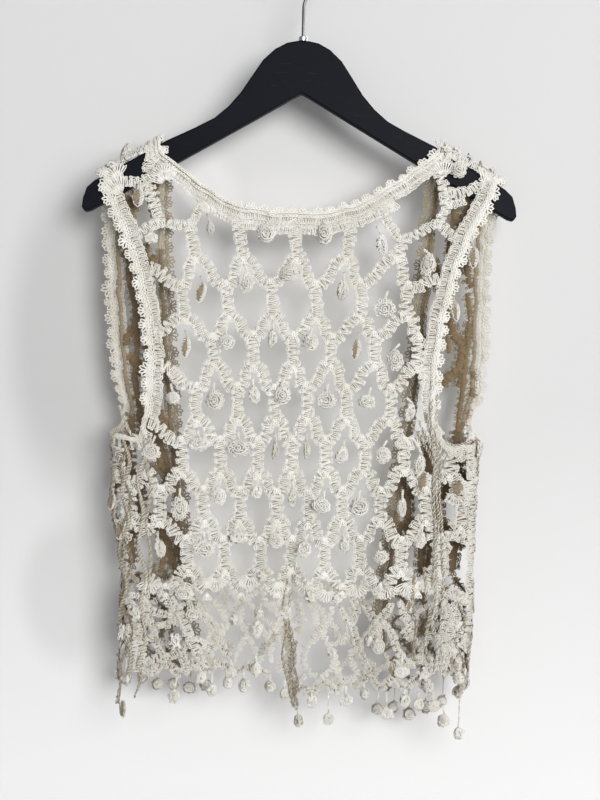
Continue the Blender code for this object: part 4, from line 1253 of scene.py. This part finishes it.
def of_band(stitches, band, low, high):
    """Keeps a band's stitches whose place is between two x of the photo."""
    rows = np.concatenate(stitches.rows)
    x = band.chart(rows[:, :2])[0][:, 0]
    stitches.rows = [rows[(x > seen(low, 200)[0]) & (x < seen(high, 200)[0])]]


second = Stitches(neck.chart)
ribs(neck, second, -9.5, -0.5, pitch=3.5, raised=0.4)
of_band(second, neck, 233, 392)
second.lay(yarn, crevice=0.38, core=0.24)
third = Stitches(neck.chart)
ribs(neck, third, -6.5, -0.5, pitch=3.6, raised=0.2)
of_band(third, neck, 196, 232)
third.lay(yarn, rails=False, crevice=0.5, core=0.24)
rows = np.concatenate(shells.rows)
x = neck.chart(rows[:, :2])[0][:, 0]
shells.rows = [rows[(x < seen(166, 150)[0]) | (x > seen(238, 195)[0])]]
# a painted shadow strip: darker small loops under the top cord on the edging's left stretch
under = Stitches(neck.chart)
ribs(neck, under, 8.8, 13.2, pitch=2.9, shade=0.5, raised=0.9)
of_band(under, neck, 166, 238)
under.lay(yarn, small=True, sides=3, crevice=0.6)
posts.lay(yarn, crevice=0.38, core=0.24)
shells.lay(yarn, small=True, crevice=0.45, fat=1.4, radius=0.7)
chain_line(neck, yarn, 12.6, raised=1.9, radius=0.9)
chain_line(neck, yarn, 8.8, raised=1.5)
chain_line(neck, yarn, 2.4, raised=1.2, shade=0.05)
neck_band = yarn.make(COTTON, "cotton_edging", "neck_edging")


# ---------------------------------------------------------- armhole bands
bands, front_bands, front_drops = {}, {}, {}
for name, table, hand in (("left", ARMHOLE_LEFT, LEFT), ("right", ARMHOLE_RIGHT, RIGHT)):
    ring = band_from(ring_rows(table), lambda x, hand=hand: hand, True)
    yarn = Yarn("armhole_band_" + name)
    posts, shells = Stitches(ring.chart), Stitches(ring.chart)
    ribs(ring, posts, -0.5, 9.6, pitch=3.5)
    scallops(ring, shells, 13.4, 7.2, 15.0, petals=6, spread=1.45)
    under = np.concatenate(shells.rows)
    place, _ = ring.chart(under[:, :2])
    shells.rows = [under[place[:, 2] > -455.0]]
    under = np.concatenate(posts.rows)
    place, _ = ring.chart(under[:, :2])
    low = place[:, 2] < -468.0
    low_posts = Stitches(ring.chart)
    posts.rows, low_posts.rows = [under[~low]], [under[low & (rng.random(len(low)) < 0.6)]]
    # the band's far side gets a different amount of painted shade (far_crevice) than its near side
    posts.lay(yarn, core=0.4, far_crevice=0.32, sides=3)
    low_posts.lay(yarn, core=0, far_crevice=0.3, sides=3)
    shells.lay(yarn, small=True, far_crevice=0.28, fat=1.5, radius=0.74)
    for v in (10.4, 13.2):
        chain_line(ring, yarn, v, raised=1.5, radius=0.85, low_tone=0.12, far_crevice=0.25)
    bands[name] = yarn.make(COTTON, "cotton_edging", "armhole_edging_" + name)


# ------------------------------------------------------------- the fronts
def front_region(hand):
    table = ARMHOLE_LEFT if hand == LEFT else ARMHOLE_RIGHT
    seam = seam_left if hand == LEFT else seam_right
    edge = edge_left if hand == LEFT else edge_right
    near_join = smooth([r[4] for r in table if r[0] == FAR], [abs(r[3]) for r in table if r[0] == FAR])
    far_low = min(r[4] for r in table if r[0] == FAR)
    near_low = [(abs(r[3]), r[4]) for r in table if r[0] != FAR and r[4] is not None and r[4] < -465]
    under = smooth(*zip(*sorted(near_low)))
    far_under = smooth(*zip(*sorted((abs(r[3]), r[4]) for r in table if r[0] != NEAR and r[4] < -430)))

    def test(q, z):
        x = np.abs(x_of(hand, q, z))
        far = q > 0
        ok_far = (x > edge(z) + FRONT_BAND - 1) & (z < ridge(x) - 3)
        above = z > -500
        ok_far &= np.where(above & (z > -430), x < near_join(z) + 1, True)
        ok_far &= np.where(above & (z <= -430), z < far_under(x) + 1, True)
        ok_near = (x > seam(z) - 1) & (z < under(x) + 1)
        hem = np.where(far, (hem_left if hand == LEFT else hem_right)(
            np.clip((q + 30) / 130.0, 0, 1)), hem_near(hand * x))
        return np.where(far, ok_far, ok_near) & (z > hem - 2)

    return test


def lattice(stitches, fans, hand, shift):
    """The same honeycomb, worked straight in (q, z)."""
    rows = [(seen(300, a)[1], seen(300, b)[1]) for a, b, *_ in BARS[:7]]
    rows = [(-186.0, -197.0)] + rows
    last = None
    pitch = 33.5
    for number, (z_top, z_bottom) in enumerate(rows):
        base = shift + (pitch / 2 if number % 2 else 0.0)
        qs = base + pitch * np.arange(-3, 9) + rng.normal(0, 1.8, 12)
        bottoms = []
        for q in qs:
            top = np.array([q + rng.normal(0, 1.0), z_top + rng.normal(0, 1.2)])
            bottom = np.array([q + rng.normal(0, 1.0), z_bottom + rng.normal(0, 1.2)])
            stitches.strip([top, (top + bottom) / 2 + rng.normal(0, 0.8, 2), bottom], 7.8)
            bottoms.append(bottom)
            if last is not None:
                for p in last:
                    if abs(p[0] - q) < pitch * 0.75:
                        arm(stitches, p, top, 7.4)
        for p in bottoms:
            for turn in (-0.55, 0.0, 0.55):
                way = np.array([math.cos(turn), math.sin(turn)])
                fans.stitch((p + [3.4 * math.sin(turn), -3.0])[None], way[None], 4.0, 0.5)
        last = bottoms


# the shade column in these tables is painted shade
TANGLES = {  # strands, height off the cloth, shade, places in the photo
    "left": (
        (4, 1.6, 0.08, ((140, 424), (144, 452), (138, 480), (143, 512), (138, 545), (146, 575), (140, 604), (146, 640), (138, 668))),
        (3, 1.6, 0.14, ((149, 436), (146, 462), (152, 490), (147, 520), (152, 552), (148, 590))),
        (3, 1.5, 0.20, ((117, 428), (110, 452), (114, 478), (108, 505), (117, 536), (111, 568), (119, 604), (113, 640), (121, 672), (118, 706))),
        (4, 2.4, 0.14, ((124, 438), (131, 462), (122, 490), (129, 520), (119, 548), (128, 585), (121, 620), (132, 650), (127, 684))),
        (2, 2.8, 0.38, ((132, 444), (121, 470), (131, 500), (124, 530), (134, 562), (122, 596), (132, 628), (122, 664))),
        (2, 2.0, 0.02, ((112, 448), (124, 478), (116, 516), (127, 548), (116, 584), (126, 616))),
        (3, 1.0, 0.02, ((120, 404), (124, 420), (131, 432), (142, 436))),
        (2, 1.0, 0.25, ((126, 600), (138, 622), (128, 645), (142, 672), (134, 700))),
    ),
    "right": (
        (2, 2.0, 0.0, ((436, 372), (437, 400), (436, 426), (438, 456), (437, 486), (438, 520), (437, 552), (438, 586), (436, 620))),
        (2, 2.4, 0.04, ((431, 376), (432, 404), (431, 430), (434, 458), (433, 490), (435, 524), (434, 556), (432, 590))),
        (2, 1.8, 0.02, ((440, 430), (441, 460), (440, 490), (442, 520), (440, 552), (442, 586), (440, 630), (444, 676))),
        (2, 2.6, 0.06, ((418, 420), (424, 434), (431, 448), (436, 462))),
        (2, 2.6, 0.10, ((410, 424), (419, 436), (427, 450), (432, 466))),
        (2, 2.8, 0.03, ((425, 414), (430, 430), (437, 446), (440, 462))),
        (2, 1.5, 0.12, ((476, 448), (478, 476), (475, 516), (477, 548), (473, 580), (474, 616), (470, 650), (468, 690))),
        (2, 2.0, 0.24, ((456, 600), (464, 622), (456, 640), (464, 662), (458, 690))),
        (3, 1.0, 0.02, ((476, 436), (466, 444), (452, 446), (440, 438))),
    ),
}

FRONT_STRIPS = {  # half width (mm), places in the photo, on the far fronts
    "left": (
        (6.5, ((127, 196), (129, 232), (126, 268), (132, 304), (135, 340), (132, 376), (138, 412), (140, 436))),
        (5.0, ((146, 240), (142, 280), (147, 320), (143, 356), (148, 396), (146, 430))),
        (6.0, ((160, 410), (156, 440), (166, 470), (158, 505), (164, 540), (158, 575))),
        (5.5, ((176, 440), (172, 480), (178, 520), (172, 560), (176, 600))),
    ),
    "right": (
        (6.0, ((470, 292), (473, 322), (469, 352), (466, 384), (462, 414), (460, 436))),
        (5.0, ((456, 214), (450, 250), (455, 286), (448, 320), (452, 352))),
        (5.2, ((476, 368), (475, 392), (470, 412), (463, 430), (456, 446))),
        (6.0, ((428, 436), (433, 470), (426, 505), (434, 540), (428, 575))),
        (5.5, ((410, 440), (406, 480), (411, 520), (405, 560), (402, 600))),
    ),
}

SIDE_STRIPS = {  # half width (mm), shade, places in the photo, on the near side
    "left": (
        (4.5, 0.06, ((128, 596), (134, 612), (130, 630), (134, 650), (130, 668))),
    ),
    "right": (
        (5.0, 0.02, ((469, 446), (471, 468), (470, 492), (472, 516), (470, 540), (471, 566), (468, 590), (470, 618), (466, 646))),
        (4.6, 0.02, ((446, 452), (456, 452), (464, 460))),
        (4.6, 0.02, ((446, 496), (456, 502), (466, 500))),
        (4.6, 0.02, ((442, 538), (452, 534), (464, 540))),
        (4.6, 0.03, ((444, 596), (452, 592), (462, 598), (470, 606))),
        (4.2, 0.05, ((450, 604), (456, 618), (450, 632), (458, 646), (466, 640))),
    ),
}

for name, hand, shift in (("left", LEFT, 4.0), ("right", RIGHT, 10.0)):
    chart = on_front(hand)
    region = front_region(hand)
    panel, fans = Stitches(chart), Stitches(chart)
    lattice(panel, fans, hand, shift)
    keep_only(panel, region)
    keep_only(fans, region)
    yarn = Yarn("front_mesh_" + name)
    # the fronts' inner side is painted deep brown shade (crevice and core near 1), as it lies in the back's shadow
    panel.lay(yarn, crevice=1.0, core=0.9, sides=3)
    fans.lay(yarn, small=True, crevice=1.0)
    low_net = Stitches(chart)
    front_knots = []

    def in_front(q, z, region=region):
        return bool(region(np.float64(q), np.float64(z)))

    net(low_net, front_knots, -60.0, 150.0, DENSE_Z + 1.0, 27.0, 16.5, in_front, 0.08, 0.88, 3.6)
    net(low_net, [], -60.0, 150.0, DENSE_Z + 8.0, 33.0, 25.0, in_front, 0.25, 0.5, 2.8, 9.0)
    low_net.lay(yarn, rails=False, core=0.7, crevice=0.9, sides=3)
    inner_strips = Stitches(far_chart)
    for half, places in FRONT_STRIPS[name]:
        inner_strips.strip([seen(*p) for p in places], half, pitch=3.5)
    inner_strips.lay(yarn, crevice=0.9, core=0.85, rails=False)
    side_strips = Stitches(near_chart)
    for half, tone, places in SIDE_STRIPS[name]:
        side_strips.strip([seen(*p) for p in places], half, pitch=3.5, raised=0.8, shade=tone)
    side_strips.lay(yarn, crevice=0.6, core=0.5, sides=3)
    for strands, raised, tone, places in TANGLES[name]:
        points = [seen(*p) + rng.normal(0, 0.8, 2) for p in places]
        rope(yarn, near_chart, points, tone, raised, strands, 0.5 + 0.3 * strands)
    yarn.make(COTTON, "cotton_mesh", "front_" + name)

    strip = band_from(front_rows(hand), lambda x, hand=hand: hand, False)
    yarn = Yarn("front_band_" + name)
    posts, shells = Stitches(strip.chart), Stitches(strip.chart)
    ribs(strip, posts, -0.5, 9.5, pitch=3.5)
    scallops(strip, shells, 10.6, 7.0, 15.0, petals=5, spread=1.35)
    # the left band's posts above z -296 get less painted shade than the rest
    rows = np.concatenate(posts.rows)
    high = (strip.chart(rows[:, :2])[0][:, 2] > -296.0) & (hand == LEFT)
    high_posts = Stitches(strip.chart)
    posts.rows, high_posts.rows = [rows[~high]], [rows[high]]
    posts.lay(yarn, crevice=0.85, core=0.8, sides=3)
    if high.any():
        high_posts.lay(yarn, crevice=0.45, core=0.42, sides=3)
    shells.lay(yarn, small=True, crevice=0.7, fat=1.45, radius=0.7)
    chain_line(strip, yarn, 10.4, raised=1.4, shade=0.1)
    front_bands[name] = yarn.make(COTTON, "cotton_edging", "front_edging_" + name)

# -------------------------------------------------------------- pendants
# px, py, width, height (pixels), turn, hook px, hook py, painted shade
PENDANTS = (
    (210, 228, 10, 14, 0.9, 207, 214, 0.25), (266, 233, 20, 20, 0.1, 266, 220, 0), (324, 233, 18, 22, -0.1, 324, 220, 0),
    (382, 245, 13, 24, 0.6, 374, 222, 0), (201, 293, 10, 20, 1.1, 197, 266, 0.3), (246, 282, 15, 22, 0.3, 243, 262, 0),
    (289, 273, 18, 16, 0.1, 295, 256, 0), (342, 290, 13, 20, 0.7, 345, 266, 0), (384, 308, 22, 20, 0.1, 396, 273, 0),
    (428, 265, 18, 24, -0.2, 420, 246, 0), (186, 348, 9, 20, 1.2, 184, 322, 0.45), (226, 342, 18, 16, 0.1, 230, 315, 0),
    (272, 338, 11, 18, 0.8, 272, 314, 0), (310, 342, 17, 18, 0.2, 316, 318, 0), (356, 350, 9, 20, 1.2, 360, 328, 0.4),
    (395, 360, 16, 22, -0.2, 406, 338, 0), (173, 398, 16, 13, 0.1, 170, 380, 0), (215, 400, 20, 20, 0, 214, 370, 0),
    (254, 395, 12, 18, 0.6, 253, 370, 0), (282, 395, 18, 20, 0.1, 291, 368, 0), (326, 400, 18, 18, 0, 332, 370, 0),
    (367, 402, 18, 14, 0.2, 374, 377, 0), (410, 412, 12, 20, 0.7, 404, 396, 0), (152, 452, 18, 18, 0, 158, 430, 0),
    (200, 444, 20, 13, 0.1, 197, 426, 0), (239, 448, 22, 18, 0, 237, 426, 0), (275, 450, 9, 18, 1.1, 274, 426, 0.2),
    (307, 450, 9, 18, 1.1, 306, 426, 0.2), (341, 455, 14, 18, 0.5, 346, 427, 0), (383, 455, 16, 17, 0.3, 390, 436, 0),
    (420, 465, 13, 22, 0.5, 416, 440, 0), (180, 508, 16, 25, 0.2, 181, 478, 0), (218, 496, 16, 18, 0.2, 221, 478, 0),
    (257, 492, 11, 14, 0.6, 258, 478, 0), (293, 498, 10, 20, 0.9, 292, 480, 0), (321, 505, 20, 16, 0.1, 325, 484, 0),
    (359, 506, 18, 18, 0.1, 362, 482, 0), (401, 507, 12, 20, 0.6, 403, 484, 0), (203, 548, 20, 18, 0.1, 204, 522, 0),
    (239, 538, 18, 11, 0.1, 240, 524, 0), (277, 540, 16, 16, 0.2, 277, 526, 0), (305, 549, 14, 16, 0.3, 308, 534, 0),
    (345, 545, 12, 14, 0.6, 342, 535, 0), (380, 556, 16, 14, 0.1, 380, 536, 0), (420, 540, 14, 16, 0.2, 424, 512, 0),
    (124, 150, 12, 22, 0.6, 132, 158, 0.1), (459, 169, 18, 17, 0.1, 466, 182, 0), (151, 238, 13, 11, 0.2, 156, 224, 0),
    (138, 197, 12, 18, 0.7, 136, 184, 0.5), (456, 312, 8, 18, 0.8, 452, 296, 0.5), (474, 258, 10, 20, 0.8, 470, 240, 0.5),
    (113, 502, 10, 16, 0.7, 114, 488, 0.4), (122, 530, 10, 18, 0.6, 122, 514, 0.4), (160, 548, 12, 20, 0.6, 158, 530, 0.2),
    (185, 592, 18, 15, 0, 186, 582, 0),
    (258, 628, 13, 17, 0.5, 256, 608, 0), (286, 612, 12, 14, 0.3, 288, 598, 0), (378, 645, 14, 16, 0.1, 376, 624, 0),
    (400, 670, 18, 12, 0, 402, 652, 0), (232, 672, 12, 13, 0, 230, 656, 0), (257, 668, 11, 13, 0.4, 256, 652, 0),
)
yarn = Yarn("back_pendants")
items = list(back_knots)
for px, py, wide, tall, turn, hx, hy, shade in PENDANTS:
    x, z = seen(px, py)
    items.append(((x, z), wide * 0.5, tall * 0.5, turn, seen(hx, hy), shade, 2.0))
# the shade column is painted shade; 0.3 and more makes a leaf with one shaded side
LUMPS = (  # px, py, width, height, turn, shade (0.3 and more: a leaf)
    (446, 149, 11, 9, 0.2, 0), (457, 152, 12, 9, -0.2, 0), (470, 157, 12, 9, 0.1, 0), (483, 160, 16, 10, 0.1, 0.55),
    (494, 170, 11, 10, -0.3, 0), (125, 153, 12, 12, 0.2, 0), (112, 166, 12, 10, 0.1, 0),
    (394, 668, 14, 18, 0.0, 0.6), (424, 674, 14, 14, 0.3, 0), (428, 686, 13, 14, 0.1, 0.0), (476, 452, 11, 12, 0.4, 0),
    (470, 436, 12, 11, 0.3, 0.0), (478, 446, 10, 12, 0.2, 0.0), (124, 709, 8, 18, 0.2, 0.35), (409, 606, 9, 12, 0.3, 0.5), (176, 640, 13, 17, 0.2, 0), (192, 613, 18, 18, 0.1, 0),
    (460, 488, 18, 18, 0.1, 0.6), (424, 483, 14, 22, 0.3, 0.5), (136, 612, 12, 16, 0.3, 0), (123, 632, 9, 16, 0.4, 0.1),
)
for px, py, wide, tall, turn, shade in LUMPS:
    items.append((seen(px, py), wide * 0.5, tall * 0.5, turn, None, shade, 2.4 if shade < 0.3 else 1.2))
pendants(yarn, items, near_chart)
back_pendants = yarn.make(COTTON, "cotton_mesh")

# ------------------------------------------------------------- hem drops
BACK_DROPS = (  # px, py, width, height, hook px, hook py
    (175, 695, 12, 13, 178, 675), (201, 677, 12, 12, 200, 666), (212, 690, 12, 12, 212, 672), (228, 683, 10, 12, 228, 670),
    (244, 685, 12, 13, 244, 671), (270, 685, 12, 12, 270, 672), (284, 694, 10, 12, 285, 680), (298, 720, 12, 13, 295, 698),
    (312, 700, 10, 11, 312, 688), (328, 718, 12, 12, 328, 690), (346, 700, 12, 12, 346, 686), (364, 693, 10, 12, 364, 680),
    (386, 712, 12, 12, 386, 690), (404, 700, 11, 12, 404, 688), (418, 704, 10, 12, 418, 692), (433, 705, 12, 12, 433, 690),
    (443, 720, 12, 13, 442, 704), (458, 733, 10, 13, 459, 700),
)
yarn = Yarn("back_hem_drops")
items = []
for px, py, wide, tall, hx, hy in BACK_DROPS:
    items.append((seen(px, py), wide * 0.5, tall * 0.5, rng.normal(0, 0.35), seen(hx, hy), 0.0, 0.5))
pendants(yarn, items, near_chart, long_stems=True)
back_drops = yarn.make(COTTON, "cotton_fringe", "back_hem_fringe")
for name, hand in (("left", LEFT), ("right", RIGHT)):
    chart = on_front(hand)
    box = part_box("front_hem_fringe_" + name)
    yarn = Yarn("front_hem_drops_" + name)
    items = []
    hem = hem_left if hand == LEFT else hem_right
    for k, q in enumerate(np.linspace(-18.0, 96.0, 8)):
        z = float(hem(np.clip((q + 30) / 130.0, 0, 1)))
        fall = 16 + 8 * rng.random()
        items.append(((q, z - fall), 6.0, 6.3, rng.normal(0, 0.35), (q + rng.normal(0, 1), z + 1), 0.0, 0.3))
    pendants(yarn, items, chart, long_stems=True)
    front_drops[name] = yarn.make(COTTON, "cotton_fringe", "front_hem_fringe_" + name)


# ------------------------------------------------------------ the hanger
def paint(name, colour, rough, metal=0.0, scratch=0.5, gloss=0.45):
    material = bpy.data.materials.new(name)
    material.use_nodes = True
    nodes, links = material.node_tree.nodes, material.node_tree.links
    shader = nodes["Principled BSDF"]
    shader.inputs["Metallic"].default_value = metal
    shader.inputs["Specular IOR Level"].default_value = gloss
    place = nodes.new("ShaderNodeTexCoord")
    cloud = nodes.new("ShaderNodeTexNoise")
    cloud.inputs["Scale"].default_value = 22.0
    cloud.inputs["Detail"].default_value = 4.0
    links.new(place.outputs["Object"], cloud.inputs["Vector"])
    tint = nodes.new("ShaderNodeValToRGB")
    tint.color_ramp.elements[0].position = 0.3
    tint.color_ramp.elements[0].color = (*[c * 0.75 for c in colour], 1)
    tint.color_ramp.elements[1].position = 0.7
    tint.color_ramp.elements[1].color = (*[min(1.0, c * 1.3) for c in colour], 1)
    links.new(cloud.outputs["Fac"], tint.inputs["Fac"])
    stretch = nodes.new("ShaderNodeMapping")
    stretch.inputs["Scale"].default_value = (60.0, 400.0, 900.0)
    stretch.inputs["Rotation"].default_value = (0.0, 0.5, 0.0)
    links.new(place.outputs["Object"], stretch.inputs["Vector"])
    lines = nodes.new("ShaderNodeTexNoise")
    lines.inputs["Scale"].default_value = 1.0
    lines.inputs["Detail"].default_value = 2.0
    links.new(stretch.outputs["Vector"], lines.inputs["Vector"])
    sharp = nodes.new("ShaderNodeValToRGB")
    sharp.color_ramp.elements[0].position = 0.66
    sharp.color_ramp.elements[0].color = (0, 0, 0, 1)
    sharp.color_ramp.elements[1].position = 0.74
    sharp.color_ramp.elements[1].color = (1, 1, 1, 1)
    links.new(lines.outputs["Fac"], sharp.inputs["Fac"])
    worn = nodes.new("ShaderNodeMix")
    worn.data_type, worn.blend_type = "RGBA", "MIX"
    scale = nodes.new("ShaderNodeMath")
    scale.operation = "MULTIPLY"
    scale.inputs[1].default_value = scratch
    links.new(sharp.outputs["Color"], scale.inputs[0])
    links.new(scale.outputs["Value"], worn.inputs["Factor"])
    links.new(tint.outputs["Color"], worn.inputs["A"])
    worn.inputs["B"].default_value = (*[min(1.0, c * 4 + 0.02) for c in colour], 1)
    links.new(worn.outputs["Result"], shader.inputs["Base Color"])
    span = nodes.new("ShaderNodeMapRange")
    span.inputs["To Min"].default_value = rough * 0.85
    span.inputs["To Max"].default_value = rough * 1.2
    links.new(cloud.outputs["Fac"], span.inputs["Value"])
    links.new(span.outputs["Result"], shader.inputs["Roughness"])
    bump = nodes.new("ShaderNodeBump")
    bump.inputs["Strength"].default_value = 0.12
    bump.inputs["Distance"].default_value = 0.0002
    links.new(lines.outputs["Fac"], bump.inputs["Height"])
    links.new(bump.outputs["Normal"], shader.inputs["Normal"])
    return material


def coat(node, material):
    part = bpy.data.objects.get(node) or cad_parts[node]
    for place in part.material_slots:
        place.material = material
    if not part.material_slots:
        part.data.materials.append(material)


coat("hanger_body", paint("hanger_satin", (0.0028, 0.0034, 0.0068), 0.5, scratch=0.25, gloss=0.08))
coat("hanger_ferrule", paint("ferrule_steel_satin", (0.55, 0.55, 0.56), 0.3, 1.0, 0.2))
coat("hanger_hook", paint("hook_wire_dark", (0.20, 0.20, 0.21), 0.32, 1.0, 0.3))


# ----------------------------------------------------- stage and lighting
# Painted light and shadow on the wall: its colour is lifted behind the
# lace's middle (gain above 1) and darkened at its left (gain below 1), so
# that the lace's shadow on the wall is open in its middle and wide at the left.
WALL_LIGHT_AND_SHADOW = (  # centre x and z, half width and half height in metres, gain
    (-0.015, -0.465, 0.158, 0.235, 1.21),
    (-0.020, -0.605, 0.150, 0.105, 1.11),
    (-0.120, -0.235, 0.055, 0.055, 1.12),
    (-0.230, -0.385, 0.075, 0.175, 0.80),
    (-0.230, -0.655, 0.055, 0.080, 0.87),
)


def paint_wall_light_and_shadow(nodes, links, place, colour, target):
    for x, z, wide, high, gain in WALL_LIGHT_AND_SHADOW:
        near = nodes.new("ShaderNodeVectorMath")
        near.operation = "SUBTRACT"
        near.inputs[1].default_value = (x, 0, z)
        links.new(place, near.inputs[0])
        flat = nodes.new("ShaderNodeVectorMath")
        flat.operation = "MULTIPLY"
        flat.inputs[1].default_value = (1 / wide, 0, 1 / high)
        links.new(near.outputs["Vector"], flat.inputs[0])
        away = nodes.new("ShaderNodeVectorMath")
        away.operation = "LENGTH"
        links.new(flat.outputs["Vector"], away.inputs[0])
        fade = nodes.new("ShaderNodeMapRange")
        fade.interpolation_type = "SMOOTHSTEP"
        fade.inputs["From Min"].default_value, fade.inputs["From Max"].default_value = 0.65, 1.2
        fade.inputs["To Min"].default_value, fade.inputs["To Max"].default_value = gain, 1.0
        links.new(away.outputs["Value"], fade.inputs["Value"])
        scaled = nodes.new("ShaderNodeVectorMath")
        scaled.operation = "SCALE"
        links.new(colour, scaled.inputs[0])
        links.new(fade.outputs["Result"], scaled.inputs["Scale"])
        colour = scaled.outputs["Vector"]
    links.new(colour, target)


def stage_plane(name, corners, colour, see_through):
    mesh = bpy.data.meshes.new(name)
    mesh.from_pydata(corners, [], [(0, 1, 2, 3)])
    plane = bpy.data.objects.new(name, mesh)
    bpy.context.collection.objects.link(plane)
    material = bpy.data.materials.new(name)
    material.use_nodes = True
    nodes, links = material.node_tree.nodes, material.node_tree.links
    shader = nodes["Principled BSDF"]
    shader.inputs["Roughness"].default_value = 0.9
    place = nodes.new("ShaderNodeTexCoord")
    noise = nodes.new("ShaderNodeTexNoise")
    noise.inputs["Scale"].default_value = 2.0
    noise.inputs["Detail"].default_value = 5.0
    links.new(place.outputs["Object"], noise.inputs["Vector"])
    tint = nodes.new("ShaderNodeValToRGB")
    tint.color_ramp.elements[0].position = 0.3
    tint.color_ramp.elements[0].color = (*[c * 0.985 for c in colour], 1)
    tint.color_ramp.elements[1].position = 0.7
    tint.color_ramp.elements[1].color = (*colour, 1)
    links.new(noise.outputs["Fac"], tint.inputs["Fac"])
    # painted light: the wall's colour is darker towards the top, as light falling off with height
    axes = nodes.new("ShaderNodeSeparateXYZ")
    links.new(place.outputs["Object"], axes.inputs["Vector"])
    rise = nodes.new("ShaderNodeMapRange")
    rise.inputs["From Min"].default_value, rise.inputs["From Max"].default_value = -0.85, -0.45
    links.new(axes.outputs["Z"], rise.inputs["Value"])
    pale = nodes.new("ShaderNodeValToRGB")
    pale.color_ramp.elements[0].color = (1, 1, 1, 1)
    pale.color_ramp.elements[1].color = (0.80, 0.80, 0.80, 1)
    links.new(rise.outputs["Result"], pale.inputs["Fac"])
    both = nodes.new("ShaderNodeMix")
    both.data_type, both.blend_type = "RGBA", "MULTIPLY"
    both.inputs["Factor"].default_value = 1.0
    links.new(tint.outputs["Color"], both.inputs["A"])
    links.new(pale.outputs["Color"], both.inputs["B"])
    links.new(both.outputs["Result"], shader.inputs["Base Color"])
    if see_through:
        # painted light and shadow patches on the wall's colour
        paint_wall_light_and_shadow(nodes, links, place.outputs["Object"], both.outputs["Result"], shader.inputs["Base Color"])
        clear = nodes.new("ShaderNodeBsdfTransparent")
        shape = nodes.new("ShaderNodeNewGeometry")
        mix = nodes.new("ShaderNodeMixShader")
        links.new(shape.outputs["Backfacing"], mix.inputs["Fac"])
        links.new(shader.outputs["BSDF"], mix.inputs[1])
        links.new(clear.outputs["BSDF"], mix.inputs[2])
        links.new(mix.outputs["Shader"], nodes["Material Output"].inputs["Surface"])
        for kind in ("diffuse", "glossy", "transmission", "shadow"):
            setattr(plane, "visible_" + kind, False)
    mesh.materials.append(material)
    plane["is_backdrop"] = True
    return plane


WALL_Y = 0.055
stage_plane("wall", [(-3, WALL_Y, -1.25), (3, WALL_Y, -1.25), (3, WALL_Y, 1.5), (-3, WALL_Y, 1.5)],
            (0.70, 0.70, 0.705), True)
stage_plane("floor", [(-4, -4, -1.25), (4, -4, -1.25), (4, 4, -1.25), (-4, 4, -1.25)],
            (0.47, 0.47, 0.465), False)


def soft_light(name, place, aim, size, power, colour=(1, 1, 1)):
    lamp = bpy.data.lights.new(name, "AREA")
    lamp.shape, lamp.size = "DISK", size
    lamp.energy, lamp.color = power, colour
    thing = bpy.data.objects.new(name, lamp)
    bpy.context.collection.objects.link(thing)
    thing.location = place
    thing.rotation_euler = (Vector(aim) - Vector(place)).to_track_quat("-Z", "Y").to_euler()
    return thing


AIM = (0.0, 0.0, -0.42)
soft_light("key", (2.0, -4.9, 0.45), AIM, 3.0, 320.0, (1.0, 0.995, 0.985))
soft_light("low_fill", (-0.8, -3.6, -1.9), (0, 0, -0.8), 2.2, 45.0, (0.99, 0.99, 1.0))
soft_light("back_fill", (0.9, 2.6, 0.5), AIM, 1.6, 75.0, (1.0, 0.99, 0.97))
world = bpy.data.worlds.new("studio")
bpy.context.scene.world = world
world.use_nodes = True
sky = world.node_tree.nodes["Background"]
sky.inputs["Color"].default_value = (0.97, 0.975, 1.0, 1)
path = world.node_tree.nodes.new("ShaderNodeLightPath")
level = world.node_tree.nodes.new("ShaderNodeMapRange")
level.inputs["To Min"].default_value = 0.30
level.inputs["To Max"].default_value = 0.80
world.node_tree.links.new(path.outputs["Is Camera Ray"], level.inputs["Value"])
world.node_tree.links.new(level.outputs["Result"], sky.inputs["Strength"])
bpy.context.scene.view_settings.view_transform = "Standard"
bpy.context.scene.view_settings.look = "None"

low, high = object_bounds()
